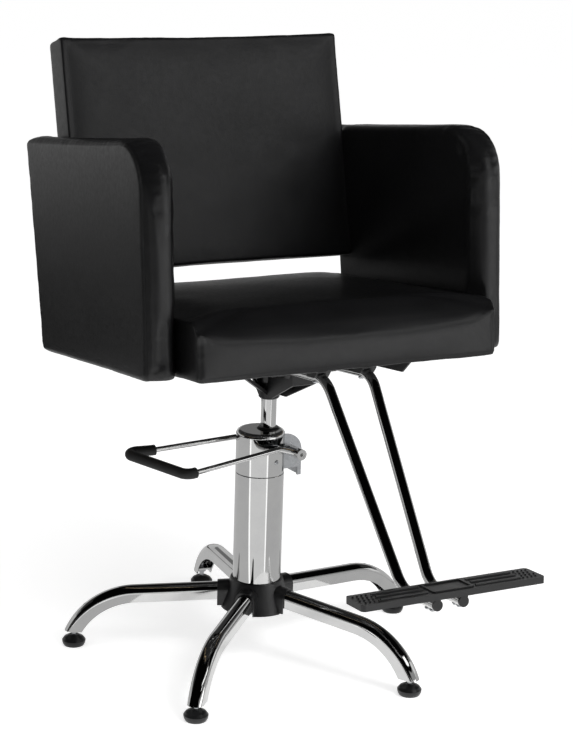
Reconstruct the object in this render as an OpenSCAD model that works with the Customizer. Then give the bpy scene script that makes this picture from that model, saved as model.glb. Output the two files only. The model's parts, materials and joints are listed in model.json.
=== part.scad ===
// Hairdressing chair with a pedal pump, a turning seat and a hung footrest.
// The floor is at z = 0, the sitter faces -Y and the seat turns about the line x = 0, y = swivel_y.

/* [Seat] */
// Width over the two arms
overall_w = 600; // [560:5:660]
// Rise of the seat's underside over the foot of its socket, on the turning axis
seat_rise = 82; // [78:1:96]
// Rise of the seat towards its front, in degrees
seat_tilt = 7.4; // [5:0.2:9]
// Reach of the seat ahead of the turning axis
seat_front = 277; // [262:1:300]
// Reach of the seat behind the turning axis
seat_back = 229; // [215:1:240]
// Thickness of the seat cushion
seat_t = 92; // [80:1:110]
// Rise of the crown on the seat cushion
seat_crown = 7; // [2:1:12]
// Radius of the seat cushion's upper front edge
seat_edge_r = 24; // [16:1:28]
// Thickness of the plywood seat board
board_t = 15; // [12:1:20]

/* [Arms] */
// Thickness of an arm pad
arm_t = 49; // [44:1:60]
// Reach of the arm's foot ahead of the turning axis
arm_front = 208; // [200:1:225]
// Reach of the arm's foot behind the turning axis
arm_back = 233; // [229:1:250]
// Height of the arm's top over the seat's underside
arm_top = 351; // [340:1:380]
// How far the arm's foot hangs below the seat's underside
arm_drop = 2.3; // [0:0.1:5]
// Forward reach that the arm gains at its top
arm_front_lean = 11; // [0:1:20]
// Backward reach that the arm gains at its top
arm_back_lean = 34; // [28:1:44]
// Radius of the arm's upper front corner
arm_corner_r = 72; // [50:1:90]
// Thickness of the plywood panel in an arm
panel_t = 18; // [12:1:20]

/* [Backrest] */
// Height of the backrest along its own face
back_h = 379; // [350:1:420]
// Thickness of the backrest
back_t = 61; // [54:1:70]
// Lean of the backrest against the seat's square, in degrees
back_recline = 6.8; // [4:0.2:8]
// Distance of the backrest's lower front edge behind the turning axis
back_y = 178; // [170:1:185]
// Gap between the seat cushion and the backrest
back_gap = 38; // [24:1:50]

/* [Footrest] */
// Width of the footrest plate
footrest_w = 292; // [240:2:340]
// Depth of the footrest plate
footrest_d = 51; // [46:1:70]
// Thickness of the footrest plate
footrest_t = 11.5; // [9:0.5:15]
// Reach of the footrest plate ahead of the turning axis
footrest_reach = 591; // [570:1:620]
// Drop of the footrest plate's lower front edge below the seat's underside
footrest_drop = 210; // [190:1:230]
// Rise of the footrest plate towards its front, in degrees
footrest_pitch = 5.3; // [2:0.1:8]
// Outer diameter of a footrest tube
tube_d = 16; // [14:0.5:18]
// Wall of a footrest tube
tube_wall = 1.5; // [1:0.1:2.5]
// Distance between the tubes under the seat
tube_gap_top = 77; // [66:1:90]
// Distance between the tubes at the footrest's front
tube_gap_low = 42; // [38:1:50]

/* [Base] */
// Radius of the circle through the glides
foot_circle_r = 299; // [285:1:330]
// Bearing of the first leg from the chair's own left, in degrees
leg_bearing = 10.9; // [0:0.1:20]
// Width of a leg
leg_w = 27; // [26:0.5:30]
// Depth of a leg
leg_h = 26; // [23:1:28]
// Thickness of the leg's sheet
leg_wall = 2; // [1.5:0.1:3]
// Radius of the leg's two upper edges
leg_edge_r = 12; // [6:0.5:12.5]
// Height of the leg's top where its bend starts
leg_bend_h = 106; // [100:1:112]
// Fall of the leg's straight run, in degrees
leg_fall = 3.7; // [2:0.1:5]
// Radius of the leg's bend, on its top
leg_bend_r = 132; // [120:1:140]
// Diameter of a glide pad
glide_d = 38.7; // [34:0.1:44]
// Height of a glide pad
glide_h = 18; // [15:0.5:20]
// Diameter of a glide's stud
stud_d = 8; // [6:1:10]

/* [Pump] */
// Outer diameter of the column sleeve
column_d = 79; // [76:0.5:84]
// Height of the line between sleeve and head cover
head_line_h = 307; // [300:1:320]
// Height of the head cover
head_h = 71; // [67:1:77]
// Turn of the pump and its pedal on the base, in degrees
pump_turn = 6; // [0:1:15]
// Diameter of the ram
ram_d = 25; // [22:0.5:27]
// Distance of the ram from the column's middle
ram_offset = 14; // [13:0.5:16]
// Free length of the ram above the head cover, as shown
ram_free = 51; // [45:1:60]
// Clearance of a running fit, on the radius
run_fit = 0.05; // [0.03:0.01:0.08]

/* [Pedal] */
// Reach of the pedal from the column's middle
pedal_reach = 207; // [195:1:220]
// Half distance between the pedal's arms beside the head
pedal_half_head = 46; // [45:0.5:50]
// Half distance between the pedal's arms at the grip
pedal_half_grip = 66; // [58:1:72]
// Diameter of the pedal's rod
pedal_rod_d = 8.5; // [7:0.5:10]
// Diameter of the pedal's rubber grip
grip_d = 17; // [14:0.5:20]
// Height of the pedal's arms beside the head, over the line between sleeve and cover
pedal_arm_rise = 48; // [45:1:51]
// Height of the pedal's shaft over the line between sleeve and cover
shaft_rise = 36.5; // [35:0.5:39]
// Distance of the pedal's shaft from the column's middle
shaft_x = 43; // [42:0.5:45]
// Diameter of the pedal's shaft
shaft_d = 10; // [8:0.5:11]

/* [Hidden] */
$fn = 64;
// Which node is drawn, or all of them
// Overrun of a cut past the face that it leaves
over = 1;
// Gap between soft faces that lie side by side
soft_gap = 0.3;
// How far a straight run enters the bend after it, and how much thicker the bend is
rod_lap = 0.3;
bend_swell = 0.05;

leg_count = 5;

// Heights that follow the column, from the head upwards
head_top_h = head_line_h + head_h;
socket_h = head_top_h + ram_free;
seat_under_h = socket_h + seat_rise;
footrest_h = seat_under_h - footrest_drop;
shaft_h = head_line_h + shaft_rise;
pedal_arm_h = head_line_h + pedal_arm_rise;

// Upholstery
seat_half = overall_w / 2 - arm_t - soft_gap;
seat_corner_r = 10;
seat_low_r = 5;
arm_edge_r = 15;
arm_small_r = 14;
arm_crown_out = 3;
arm_crown_in = 1;
arm_bottom = -arm_drop;
back_edge_r = 22;
back_rear_r = 12;
back_corner_r = 10;
back_top_draw = 3;
back_crown_front = 7;
back_crown_rear = 4;
side_draw = 1.5;
seat_round_shares = [1, 0.35, 0.6, 0.35];
arm_round_shares = [0.4, 1, 1, 1];
back_round_shares = [0.5, 1, 0.25, 1];
board_inset = 9;
panel_inset = 16;
back_board_t = 14;
back_z = seat_t - seat_crown + back_gap;
bolt_d = 8;
bolt_fit = 0.1;
bolt_grip = 14;
panel_x = overall_w / 2 - (arm_t + panel_t) / 2;
arm_bolt_shares = [-0.55, 0, 0.55];
back_bolt_shares = [0.16, 0.5];

// Depth and height reached by the backrest, and where the footprint puts the turning axis
back_reach = (back_y + back_h * sin(back_recline) + back_t * cos(back_recline)) * cos(seat_tilt)
    + (back_z + back_h * cos(back_recline) - back_t * sin(back_recline)) * sin(seat_tilt);
swivel_y = (footrest_reach - back_reach) / 2;

// Steelwork under the seat
plate_t = 6;
plate_half = 100;
plate_corner_r = 12;
plate_bolt_half = 82;
plate_bolt_head_d = 16;
plate_bolt_head_h = 5;
spider_bar_t = 6;
spider_bar_w = 32;
front_arm_w = 41;
front_arm_root_w = 22;
front_arm_wall = 3;
front_arm_end = 120;
front_arm_step = 18;
front_arm_root = 36;
front_arm_low = 6;
front_arm_high = 37;
front_arm_depth = 44;
front_arm_top = 36;
cross_bar_half = 58;
cross_bar_d = 36;
side_arm_reach = 114;
socket_d = 34;
socket_collar_h = 24;
socket_grip = 47;
funnel_neck_d = 44;
funnel_neck_h = 6;
funnel_d = 54;
washer_t = 2;
socket_wall_top = 8;
ram_top_h = socket_h + socket_grip;
ram_chamfer = 1.5;
ram_seal_w = 4;
ram_seal_depth = 2;

// Footrest tubes
tube_z = -plate_t - tube_d / 2 - 0.2;
tube_bend_r = 46;
tube_low_bend_r = 40;
tube_rear = 60;
clamp_rear = 224;
clamp_front = 256;
clamp_w = 24;
clamp_h = -tube_z;
clamp_nose = 8;
clamp_screw_y = 230;
clamp_screw_d = 5;
rail_x = 104;
rail_t = 3;
rail_h = 20;
rail_flange = 18;
rail_rear = 100;
rail_front = 262;
rail_nose = 24;
rail_nose_h = 17;
rail_screw_shares = [0.12, 0.5, 0.82];
tube_drop = 12.5;
cap_t = 3;
cap_spigot = 6;
saddle_w = 12;
saddle_shares = [0.28, 0.86];
foot_screw_shares = [0.53, 0.76];
foot_screw_d = 5;
foot_corner_r = 6;
foot_rib_h = 1.8;
foot_rib_w = 4;
foot_ribs = 3;
foot_frame_w = 66;
foot_frame_t = 4;
foot_rim = 5;
dot_zone_w = 34;
dot_d = 3.6;
dot_h = 1.5;
dot_rows = 4;
dot_cols = 4;

// Legs, glides and hub
leg_end_h = 26;
leg_overhang = 15;
leg_plate_h = 32;
leg_plate_t = 3;
leg_plate_in = 14;
ring_r = 45.5;
ring_top_h = 107;
ring_foot_h = 86;
web_t = 6;
leg_root_r = 40;
arc_z = leg_bend_h - leg_bend_r * cos(leg_fall);
arc_end = acos((leg_end_h - arc_z) / leg_bend_r);
bend_start_r = foot_circle_r + leg_overhang - leg_bend_r * (sin(arc_end) - sin(leg_fall));
arc_x = bend_start_r - leg_bend_r * sin(leg_fall);
cover_top_h = 125;
cover_foot_h = 77;
cover_top_r = 43;
cover_foot_r = 59;
cover_wall = 2.5;
cover_gap = 0.3;
cover_socket_r = 64;
cover_socket_wall = 3;
stud_past = 6;
stud_top_h = leg_plate_h + leg_plate_t + stud_past;
stud_foot_h = 8;
nut_af = 13;
nut_t = 6.4;
glide_sole_share = 0.86;
glide_waist_share = 0.5;
glide_neck_d = 15;
clamp_flange_d = 44;
clamp_flange_t = 3;
clamp_neck_d = 30;
clamp_foot_h = 66;
clamp_bolt_d = 20;
clamp_bolt_grip = 18;

// Pump
sleeve_wall = 1.5;
joint_groove = 0.8;
body_gap = 0.8;
body_rise = 7;
body_top_h = head_line_h + body_rise;
body_r = column_d / 2 - sleeve_wall - body_gap;
head_wall = 2;
head_top_t = 3;
head_edge_r = 7;
gland_d = 33;
gland_flange_d = 37;
gland_depth = 11;
gland_rise = 3;
plunger_x = -22;
plunger_d = 10;
plunger_bore_depth = 146;
plunger_room = 32;
plunger_bore_h = body_top_h - plunger_bore_depth;
plunger_foot_h = plunger_bore_h + plunger_room;
plunger_cap_d = 16;
plunger_cap_t = 5;
bar_d = 8;
bar_h = pedal_arm_h;
ram_bore_rise = 26;
ram_room = 47;
ram_bore_h = ring_foot_h + web_t + ram_bore_rise;
ram_foot_h = ram_bore_h + ram_room;
ram_seal_lift = 6;
ram_seal_h = ram_foot_h + ram_seal_lift;
cap_gap = 0.3;
cap_top_h = bar_h - bar_d / 2 - cap_gap;
pocket_d = 17;
pocket_depth = 20;
spring_wire_d = 1.6;
spring_mean_d = 13.4;
spring_turns = 7;
window_r = 26;
window_x = -3;
window_lift = 3;
window_z = head_top_h + window_lift;
lug_w = 18;
lug_h = 22;
lug_t = 7;
lug_turn = -80;
lug_screw_rise = 17;
screw_h = body_top_h + lug_screw_rise;
cover_screw_d = 4;
cover_screw_head_d = 8;
cover_screw_head_t = 2;
cheek_t = 3;
cheek_y = 24;
cheek_in = 18;
cheek_out = 62;
cheek_drop = 6;
cheek_top_h = head_top_h - cheek_drop;
cheek_r = 30;
cheek_foot_h = body_top_h;
cheek_strip_w = 7;
cheek_hang = 7;
cheek_strip_h = head_line_h - cheek_hang;
web_rise = 18;
web_top_h = head_line_h + web_rise;
flange_x = 27;
flange_w = 9;
bracket_screw_y = 13;
bracket_screw_d = 5;
bracket_screw_head_d = 8.5;
boss_d = 18;
boss_gap = 0.6;
boss_len = 30;
shaft_half = cheek_y + cheek_t + boss_gap + boss_len - 0.5;
shaft_hole_d = 6;
shaft_hole_t = 6;
yoke_y = 15.5;
yoke_t = 5;
yoke_bar_h = 9;
yoke_hub_d = 17;

// Pedal rod's path in the pump's own frame
pedal_root_y = cheek_y + cheek_t + boss_gap + boss_len * 0.55;
pedal_kink_x = 8;
pedal_grip_x = -163;
pedal_grip_lift = 3;
pedal_grip_h = shaft_h + pedal_grip_lift;
pedal_corner_x = -175;
pedal_far_y = 82;
pedal_near_y = 68;
pedal_path = [
    [shaft_x - boss_d / 3, -pedal_root_y, shaft_h + 1.5 * over],
    [pedal_kink_x, -pedal_half_head, pedal_arm_h],
    [pedal_corner_x, -pedal_near_y, pedal_grip_h - over],
    [-pedal_reach, pedal_far_y, pedal_grip_h - 2 * over],
    [pedal_grip_x, pedal_half_grip, pedal_grip_h],
    [pedal_kink_x, pedal_half_head, pedal_arm_h],
    [shaft_x - boss_d / 3, pedal_root_y, shaft_h + 1.5 * over]
];
pedal_bends = [0, 22, 15, 13, 30, 22, 0];

// Places shared by many pieces
module at_swivel() { translate([0, swivel_y, 0]) children(); }
module at_column() {
    translate([-ram_offset * cos(pump_turn), swivel_y - ram_offset * sin(pump_turn), 0]) children();
}
module at_pump() { at_column() rotate([0, 0, pump_turn]) children(); }
module at_seat() { translate([0, swivel_y, seat_under_h]) rotate([-seat_tilt, 0, 0]) children(); }
module at_back() { at_seat() translate([0, back_y, back_z]) rotate([-back_recline, 0, 0]) children(); }
module at_footrest() {
    translate([0, swivel_y - footrest_reach, footrest_h]) rotate([-footrest_pitch, 0, 0]) children();
}
module at_leg(i) { at_column() rotate([0, 0, leg_bearing + (i - 1) * 360 / leg_count]) children(); }

// Plan places of points that are given in the seat's frame, depth and height only
function seat_point(x, y, z) = [
    x,
    swivel_y + y * cos(seat_tilt) + z * sin(seat_tilt),
    seat_under_h - y * sin(seat_tilt) + z * cos(seat_tilt)
];
function foot_point(x, y, z) = [
    x,
    swivel_y - footrest_reach + y * cos(footrest_pitch) + z * sin(footrest_pitch),
    footrest_h - y * sin(footrest_pitch) + z * cos(footrest_pitch)
];

// Round rod that runs straight between bends, each bend with its own radius
function unit(v) = v / norm(v);
function turn_at(p, i) =
    acos(min(1, unit(p[i] - p[i - 1]) * unit(p[i + 1] - p[i])));
function trim_at(p, bends, i) =
    (i == 0 || i == len(p) - 1) ? 0 : bends[i] * tan(turn_at(p, i) / 2);
module straight_rod(a, b, r) {
    d = b - a;
    translate(a) rotate([0, acos(d.z / norm(d)), atan2(d.y, d.x)]) cylinder(h = norm(d), r = r);
}
module rod_bend(p, bends, i, r) {
    d1 = unit(p[i] - p[i - 1]);
    d2 = unit(p[i + 1] - p[i]);
    inward = unit(d2 - (d2 * d1) * d1);
    c = p[i] - d1 * trim_at(p, bends, i) + inward * bends[i];
    z = cross(-inward, d1);
    m = [
        [-inward.x, d1.x, z.x, c.x],
        [-inward.y, d1.y, z.y, c.y],
        [-inward.z, d1.z, z.z, c.z]
    ];
    multmatrix(m) rotate_extrude(angle = turn_at(p, i)) translate([bends[i], 0]) circle(r);
}
module bent_rod(p, bends, r, ends = 0) {
    last = len(p) - 1;
    for (i = [0:last - 1]) {
        d = unit(p[i + 1] - p[i]);
        a = p[i] + d * (i == 0 ? -ends : trim_at(p, bends, i) - rod_lap);
        b = p[i + 1] - d * (i == last - 1 ? -ends : trim_at(p, bends, i + 1) - rod_lap);
        straight_rod(a, b, r);
    }
    for (i = [1:last - 1]) rod_bend(p, bends, i, r + bend_swell);
}

// Square-ended bar with its corners rounded, built from squares and circles
module round_square(w, d, r) {
    square([w, d - 2 * r], center = true);
    square([w - 2 * r, d], center = true);
    for (x = [-1, 1], y = [-1, 1]) translate([x * (w / 2 - r), y * (d / 2 - r)]) circle(r);
}

// Outline of a pad: each entry holds a point and how round the pad's edge is there
function edge_dir(p, i) = unit(p[(i + 1) % len(p)] - p[i]);
function edge_out(p, i) = [edge_dir(p, i).y, -edge_dir(p, i).x];
function corner_before(p, i) = edge_out(p, (i + len(p) - 1) % len(p));
function corner_mid(p, r, i) = p[i] - r[i] * (corner_before(p, i) + edge_out(p, i))
    / (1 + corner_before(p, i) * edge_out(p, i));
function angle_of(v) = atan2(v.y, v.x);
function ccw_gap(a, b) = (b - a + 720) % 360;
function corner_points(p, r, i, n, round) = [
    for (k = [0:n])
        let (
            a0 = angle_of(corner_before(p, i)),
            a = a0 + ccw_gap(a0, angle_of(edge_out(p, i))) * k / n,
            before = round[(i + len(p) - 1) % len(p)]
        )
        [corner_mid(p, r, i) + r[i] * [cos(a), sin(a)], before + (round[i] - before) * k / n]
];
function outline(p, r, n, draw, round, edge_n) = [
    for (i = [0:len(p) - 1])
        let (
            j = (i + 1) % len(p),
            out = edge_out(p, i),
            a = corner_mid(p, r, i) + r[i] * out,
            b = corner_mid(p, r, j) + r[j] * out
        )
        each concat(
            corner_points(p, r, i, n[i], round),
            [for (k = [1:edge_n - 1]) [a + (b - a) * k / edge_n - out * draw[i] * sin(180 * k / edge_n), round[i]]]
        )
];

// The same outline with each side drawn inward by its own share of d, and its corners tightened
function inner_corner(p, i, d1, d2) =
    let (n1 = corner_before(p, i), n2 = edge_out(p, i), c = n1 * n2)
    p[i] + (n1 * (c * d2 - d1) + n2 * (c * d1 - d2)) / (1 - c * c);
function inner_outline(p, r, n, draw, round, edge_n, d) = outline(
    [for (i = [0:len(p) - 1]) inner_corner(p, i, d * round[(i + len(p) - 1) % len(p)], d * round[i])],
    [for (i = [0:len(p) - 1]) r[i] * r[i] / (r[i] + d * round[i])],
    n, draw, round, edge_n
);

// Closed pad over an outline: both faces crowned, edges rounded by low_r and high_r, sides drawn in
pad_arc_n = 4;
pad_crown_n = 3;
function pad_levels(t, low, high, low_r, high_r, tuck) = concat(
    [for (k = [1:pad_crown_n]) let (s = k / (pad_crown_n + 1)) [low_r, s, low * s * s, 0]],
    [for (k = [0:pad_arc_n]) let (a = 90 * k / pad_arc_n) [low_r * (1 - sin(a)), 1, low, low_r * (1 - cos(a))]],
    [[tuck, 1, (low + t - high) / 2, 0]],
    [for (k = [0:pad_arc_n]) let (a = 90 * k / pad_arc_n)
        [high_r * (1 - cos(a)), 1, t - high, -high_r * (1 - sin(a))]],
    [for (k = [pad_crown_n:-1:1]) let (s = k / (pad_crown_n + 1)) [high_r, s, t - high * s * s, 0]]
);
module pad(p, r, n, draw, round, edge_n, middle, levels, t) {
    m = len(outline(p, r, n, draw, round, edge_n));
    rings = len(levels);
    points = concat(
        [for (v = levels, e = inner_outline(p, r, n, draw, round, edge_n, v[0]))
            let (q = middle + (e[0] - middle) * v[1]) [q.x, q.y, v[2] + v[3] * e[1]]],
        [[middle.x, middle.y, 0], [middle.x, middle.y, t]]
    );
    sides = [for (k = [0:rings - 2], j = [0:m - 1])
        let (a = k * m + j, b = k * m + (j + 1) % m) each [[a, a + m, b + m], [a, b + m, b]]];
    floor_fan = [for (j = [0:m - 1]) [rings * m, j, (j + 1) % m]];
    top = (rings - 1) * m;
    top_fan = [for (j = [0:m - 1]) [rings * m + 1, top + (j + 1) % m, top + j]];
    polyhedron(points, concat(sides, floor_fan, top_fan), convexity = 4);
}

// Legs
module leg_section(shrink, swell) {
    w = leg_w - 2 * shrink + 2 * swell;
    h = leg_h + swell + (shrink > 0 ? over : 0);
    r = leg_edge_r - shrink + swell;
    translate([swell - shrink, 0]) {
        translate([-h, -w / 2]) square([h - r, w]);
        translate([-h, -w / 2 + r]) square([h, w - 2 * r]);
        for (s = [-1, 1]) translate([-r, s * (w / 2 - r)]) circle(r);
    }
}
module leg_form(shrink) {
    run = (bend_start_r - leg_root_r) / cos(leg_fall);
    translate([bend_start_r, 0, leg_bend_h]) rotate([0, 90 + leg_fall, 0]) rotate([0, 0, 180])
        translate([0, 0, -run]) linear_extrude(run + rod_lap) leg_section(shrink, 0);
    translate([arc_x, 0, arc_z]) rotate([90, 0, 0]) rotate([0, 0, 90 - arc_end])
        rotate_extrude(angle = arc_end - leg_fall) translate([leg_bend_r, 0]) leg_section(shrink, bend_swell);
}
module leg(i) {
    color("silver") at_leg(i) difference() {
        union() {
            difference() {
                leg_form(0);
                leg_form(leg_wall);
            }
            intersection() {
                leg_form(0);
                translate([foot_circle_r - leg_plate_in, -leg_w / 2, leg_plate_h])
                    cube([leg_plate_in + leg_overhang, leg_w, leg_plate_t]);
            }
        }
        translate([0, 0, ring_foot_h - leg_h]) cylinder(h = 2 * leg_h + leg_bend_h, r = ring_r);
        translate([foot_circle_r - leg_bend_r, -leg_w, -leg_bend_h]) cube([2 * leg_bend_r, 2 * leg_w, leg_bend_h + leg_end_h]);
        translate([foot_circle_r, 0, leg_end_h - over])
            cylinder(h = leg_plate_h + leg_plate_t - leg_end_h + 2 * over, r = stud_d / 2 + run_fit);
    }
}

// Glides
module glide_profile() {
    r = glide_d / 2;
    waist = glide_h * glide_waist_share;
    square([r * glide_sole_share, waist]);
    square([glide_neck_d / 2, glide_h]);
    intersection() {
        translate([0, waist]) scale([1, 1]) circle(r * 0.999);
        polygon([[0, 0], [r * glide_sole_share, 0], [r, waist * 0.6], [r, waist], [r * 0.82, waist * 1.5],
            [glide_neck_d / 2, glide_h], [0, glide_h]]);
    }
}
module glide_pad(i) {
    color("#1c1c1c") at_leg(i) translate([foot_circle_r, 0, 0]) difference() {
        rotate_extrude() glide_profile();
        translate([0, 0, stud_foot_h]) cylinder(h = glide_h, r = stud_d / 2);
    }
}
module glide_stud(i) {
    color("silver") at_leg(i) translate([foot_circle_r, 0, 0]) {
        translate([0, 0, stud_foot_h]) cylinder(h = stud_top_h - stud_foot_h - over, r = stud_d / 2);
        translate([0, 0, stud_top_h - over]) cylinder(h = over, r1 = stud_d / 2, r2 = stud_d / 2 - over);
    }
}
module jam_nuts() {
    color("silver") for (i = [1:leg_count]) at_leg(i) translate([foot_circle_r, 0, leg_plate_h - nut_t])
        difference() {
            cylinder(h = nut_t, r = nut_af / 2 / cos(30), $fn = 6);
            translate([0, 0, -over]) cylinder(h = nut_t + 2 * over, r = stud_d / 2 + run_fit);
        }
}

// Hub
module hub_ring() {
    color("dimgray") at_column() difference() {
        translate([0, 0, ring_foot_h]) cylinder(h = ring_top_h - ring_foot_h, r = ring_r);
        translate([0, 0, ring_foot_h + web_t]) cylinder(h = ring_top_h, r = column_d / 2);
        translate([0, 0, ring_foot_h - over]) cylinder(h = web_t + 2 * over, r = clamp_bolt_d / 2);
    }
}
function cover_r(z) = cover_foot_r
    + (cover_top_r - cover_foot_r) * (z - cover_foot_h) / (cover_top_h - cover_foot_h);
module cover_cone(shrink, low, high) {
    rotate_extrude() polygon([
        [0, low], [cover_r(low) - shrink, low], [cover_r(high) - shrink, high], [0, high]
    ]);
}
// Straight bar round a leg's root, grown on its sides and top, and open far below the leg
module leg_sleeve(grow, foot) {
    run = bend_start_r / cos(leg_fall);
    w = leg_w + 2 * grow;
    r = leg_edge_r + grow;
    h = leg_bend_h + run * sin(leg_fall) - foot + grow;
    translate([bend_start_r, 0, leg_bend_h]) rotate([0, 90 + leg_fall, 0]) rotate([0, 0, 180])
        translate([grow, 0, -run]) linear_extrude(run) {
            translate([-h, -w / 2]) square([h - r, w]);
            translate([-h, -w / 2 + r]) square([h, w - 2 * r]);
            for (s = [-1, 1]) translate([-r, s * (w / 2 - r)]) circle(r);
        }
}
module hub_cover() {
    color("#161616") at_column() difference() {
        union() {
            cover_cone(0, cover_foot_h, cover_top_h);
            for (i = [0:leg_count - 1]) rotate([0, 0, leg_bearing + i * 360 / leg_count])
                intersection() {
                    leg_sleeve(cover_socket_wall, 0);
                    translate([column_d / 2 + cover_wall, -leg_w, cover_foot_h + cover_wall])
                        cube([cover_socket_r - column_d / 2 - cover_wall, 2 * leg_w, cover_top_h - cover_foot_h]);
                }
        }
        cover_cone(cover_wall, cover_foot_h - over, cover_top_h - 2 * cover_wall);
        translate([0, 0, cover_foot_h]) cylinder(h = cover_top_h, r = column_d / 2 + cover_gap);
        for (i = [0:leg_count - 1]) rotate([0, 0, leg_bearing + i * 360 / leg_count]) leg_sleeve(cover_gap, 0);
    }
}
module clamp_bolt() {
    flange_top = clamp_foot_h + clamp_flange_t;
    color("silver") at_column() difference() {
        union() {
            translate([0, 0, clamp_foot_h]) cylinder(h = clamp_flange_t, r = clamp_flange_d / 2);
            translate([0, 0, flange_top])
                cylinder(h = ring_foot_h - flange_top, r1 = clamp_flange_d / 2 - over, r2 = clamp_neck_d / 2);
            translate([0, 0, ring_foot_h])
                cylinder(h = web_t + clamp_bolt_grip, r = clamp_bolt_d / 2 - run_fit);
        }
        translate([0, 0, clamp_foot_h - over]) cylinder(h = clamp_neck_d / 2, r = clamp_bolt_d / 3, $fn = 6);
    }
}

// Pump
module column_sleeve() {
    foot = ring_foot_h + web_t;
    color("silver") at_column() difference() {
        union() {
            translate([0, 0, foot]) cylinder(h = head_line_h - foot - joint_groove, r = column_d / 2);
            translate([0, 0, head_line_h - joint_groove])
                cylinder(h = joint_groove, r1 = column_d / 2, r2 = column_d / 2 - joint_groove);
        }
        translate([0, 0, foot - over]) cylinder(h = head_line_h, r = column_d / 2 - sleeve_wall);
    }
}
module pump_body() {
    foot = ring_foot_h + web_t;
    color("lightgray") at_pump() difference() {
        union() {
            translate([0, 0, foot]) cylinder(h = body_top_h - foot, r = body_r);
            intersection() {
                cylinder(h = body_top_h + lug_h, r = column_d / 2 - head_wall);
                rotate([0, 0, lug_turn]) translate([column_d / 2 - head_wall - lug_t, -lug_w / 2, body_top_h - over])
                    cube([lug_t, lug_w, lug_h + over]);
            }
        }
        translate([ram_offset, 0, ram_bore_h]) cylinder(h = head_top_h, r = ram_d / 2 + run_fit);
        translate([plunger_x, 0, plunger_bore_h]) cylinder(h = head_top_h, r = plunger_d / 2 + run_fit);
        translate([plunger_x, 0, body_top_h - pocket_depth]) cylinder(h = head_top_h, r = pocket_d / 2);
        translate([0, 0, foot - over]) cylinder(h = clamp_bolt_grip + 2 * over, r = clamp_bolt_d / 2);
        rotate([0, 0, lug_turn]) translate([body_r - 2 * lug_t, 0, screw_h]) rotate([0, 90, 0])
            cylinder(h = 3 * lug_t, r = cover_screw_d / 2);
        for (y = [-1, 1]) translate([flange_x + flange_w / 2, y * bracket_screw_y, body_top_h - 2 * bracket_screw_d])
            cylinder(h = pocket_depth, r = bracket_screw_d / 2);
    }
}
module head_profile(shrink, r) {
    w = column_d / 2 - shrink;
    h = head_top_h - head_line_h - (shrink > 0 ? head_top_t : 0);
    translate([0, joint_groove]) square([w, h - r - joint_groove]);
    square([w - r, h]);
    translate([w - r, h - r]) circle(r);
    polygon([[0, 0], [w - (shrink > 0 ? 0 : joint_groove), 0], [w, joint_groove], [0, joint_groove]]);
}
module head_cover() {
    color("silver") at_pump() difference() {
        translate([0, 0, head_line_h]) difference() {
            rotate_extrude() head_profile(0, head_edge_r);
            rotate_extrude() head_profile(head_wall, head_edge_r - head_wall);
        }
        translate([ram_offset, 0, head_line_h]) cylinder(h = head_top_h, r = gland_d / 2);
        intersection() {
            translate([window_x, 0, window_z]) rotate([90, 0, 0]) cylinder(h = column_d, r = window_r);
            translate([-column_d, -column_d, head_line_h])
                cube([2 * column_d, column_d * 0.82, head_top_h - head_edge_r - head_line_h]);
        }
        translate([cheek_in + over, -cheek_y - cheek_t - cover_gap, head_line_h - over])
            cube([column_d, 2 * (cheek_y + cheek_t + cover_gap), cheek_top_h + cover_gap - head_line_h + over]);
        rotate([0, 0, lug_turn]) translate([body_r - lug_t, 0, screw_h]) rotate([0, 90, 0])
            cylinder(h = 3 * lug_t, r = cover_screw_d / 2);
    }
}
module gland() {
    color("#161616") at_pump() translate([ram_offset, 0, head_top_h]) difference() {
        rotate_extrude() polygon([
            [ram_d / 2 + run_fit, -gland_depth], [gland_d / 2, -gland_depth], [gland_d / 2, 0],
            [gland_flange_d / 2, 0], [gland_flange_d / 2, gland_rise / 3],
            [ram_d / 2 + gland_rise, gland_rise], [ram_d / 2 + run_fit, gland_rise]
        ]);
    }
}
module cover_screw() {
    color("silver") at_pump() rotate([0, 0, lug_turn]) translate([column_d / 2, 0, screw_h]) rotate([0, 90, 0]) {
        translate([0, 0, -lug_t]) cylinder(h = lug_t, r = cover_screw_d / 2);
        difference() {
            cylinder(h = cover_screw_head_t, r1 = cover_screw_head_d / 2, r2 = cover_screw_head_d / 3);
            translate([0, 0, cover_screw_head_t / 2]) cylinder(h = cover_screw_head_t, r = cover_screw_d / 3, $fn = 6);
        }
    }
}
module cheek_outline() {
    translate([cheek_in, cheek_foot_h]) square([cheek_out - cheek_r - cheek_in, cheek_top_h - cheek_foot_h]);
    translate([cheek_in, cheek_foot_h]) square([cheek_out - cheek_in, cheek_top_h - cheek_r - cheek_foot_h]);
    translate([cheek_out - cheek_r, cheek_top_h - cheek_r]) intersection() {
        circle(cheek_r);
        translate([0, -over]) square([cheek_r, cheek_r + over]);
    }
    translate([cheek_out - cheek_strip_w, cheek_strip_h]) square([cheek_strip_w, cheek_foot_h - cheek_strip_h + over]);
}
module pump_bracket() {
    color("silver") at_pump() difference() {
        union() {
            for (y = [-cheek_y, cheek_y + cheek_t]) translate([0, y, 0]) rotate([90, 0, 0])
                linear_extrude(cheek_t) cheek_outline();
            translate([cheek_out - cheek_t, -cheek_y - over, cheek_strip_h])
                cube([cheek_t, 2 * (cheek_y + over), web_top_h - cheek_strip_h]);
            translate([flange_x, -cheek_y - over, cheek_foot_h]) cube([flange_w, 2 * (cheek_y + over), cheek_t]);
        }
        translate([shaft_x, 0, shaft_h]) rotate([90, 0, 0])
            cylinder(h = column_d, r = shaft_d / 2 + run_fit, center = true);
        for (y = [-1, 1]) translate([flange_x + flange_w / 2, y * bracket_screw_y, cheek_foot_h - over])
            cylinder(h = cheek_t + 2 * over, r = bracket_screw_d / 2);
    }
}
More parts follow.
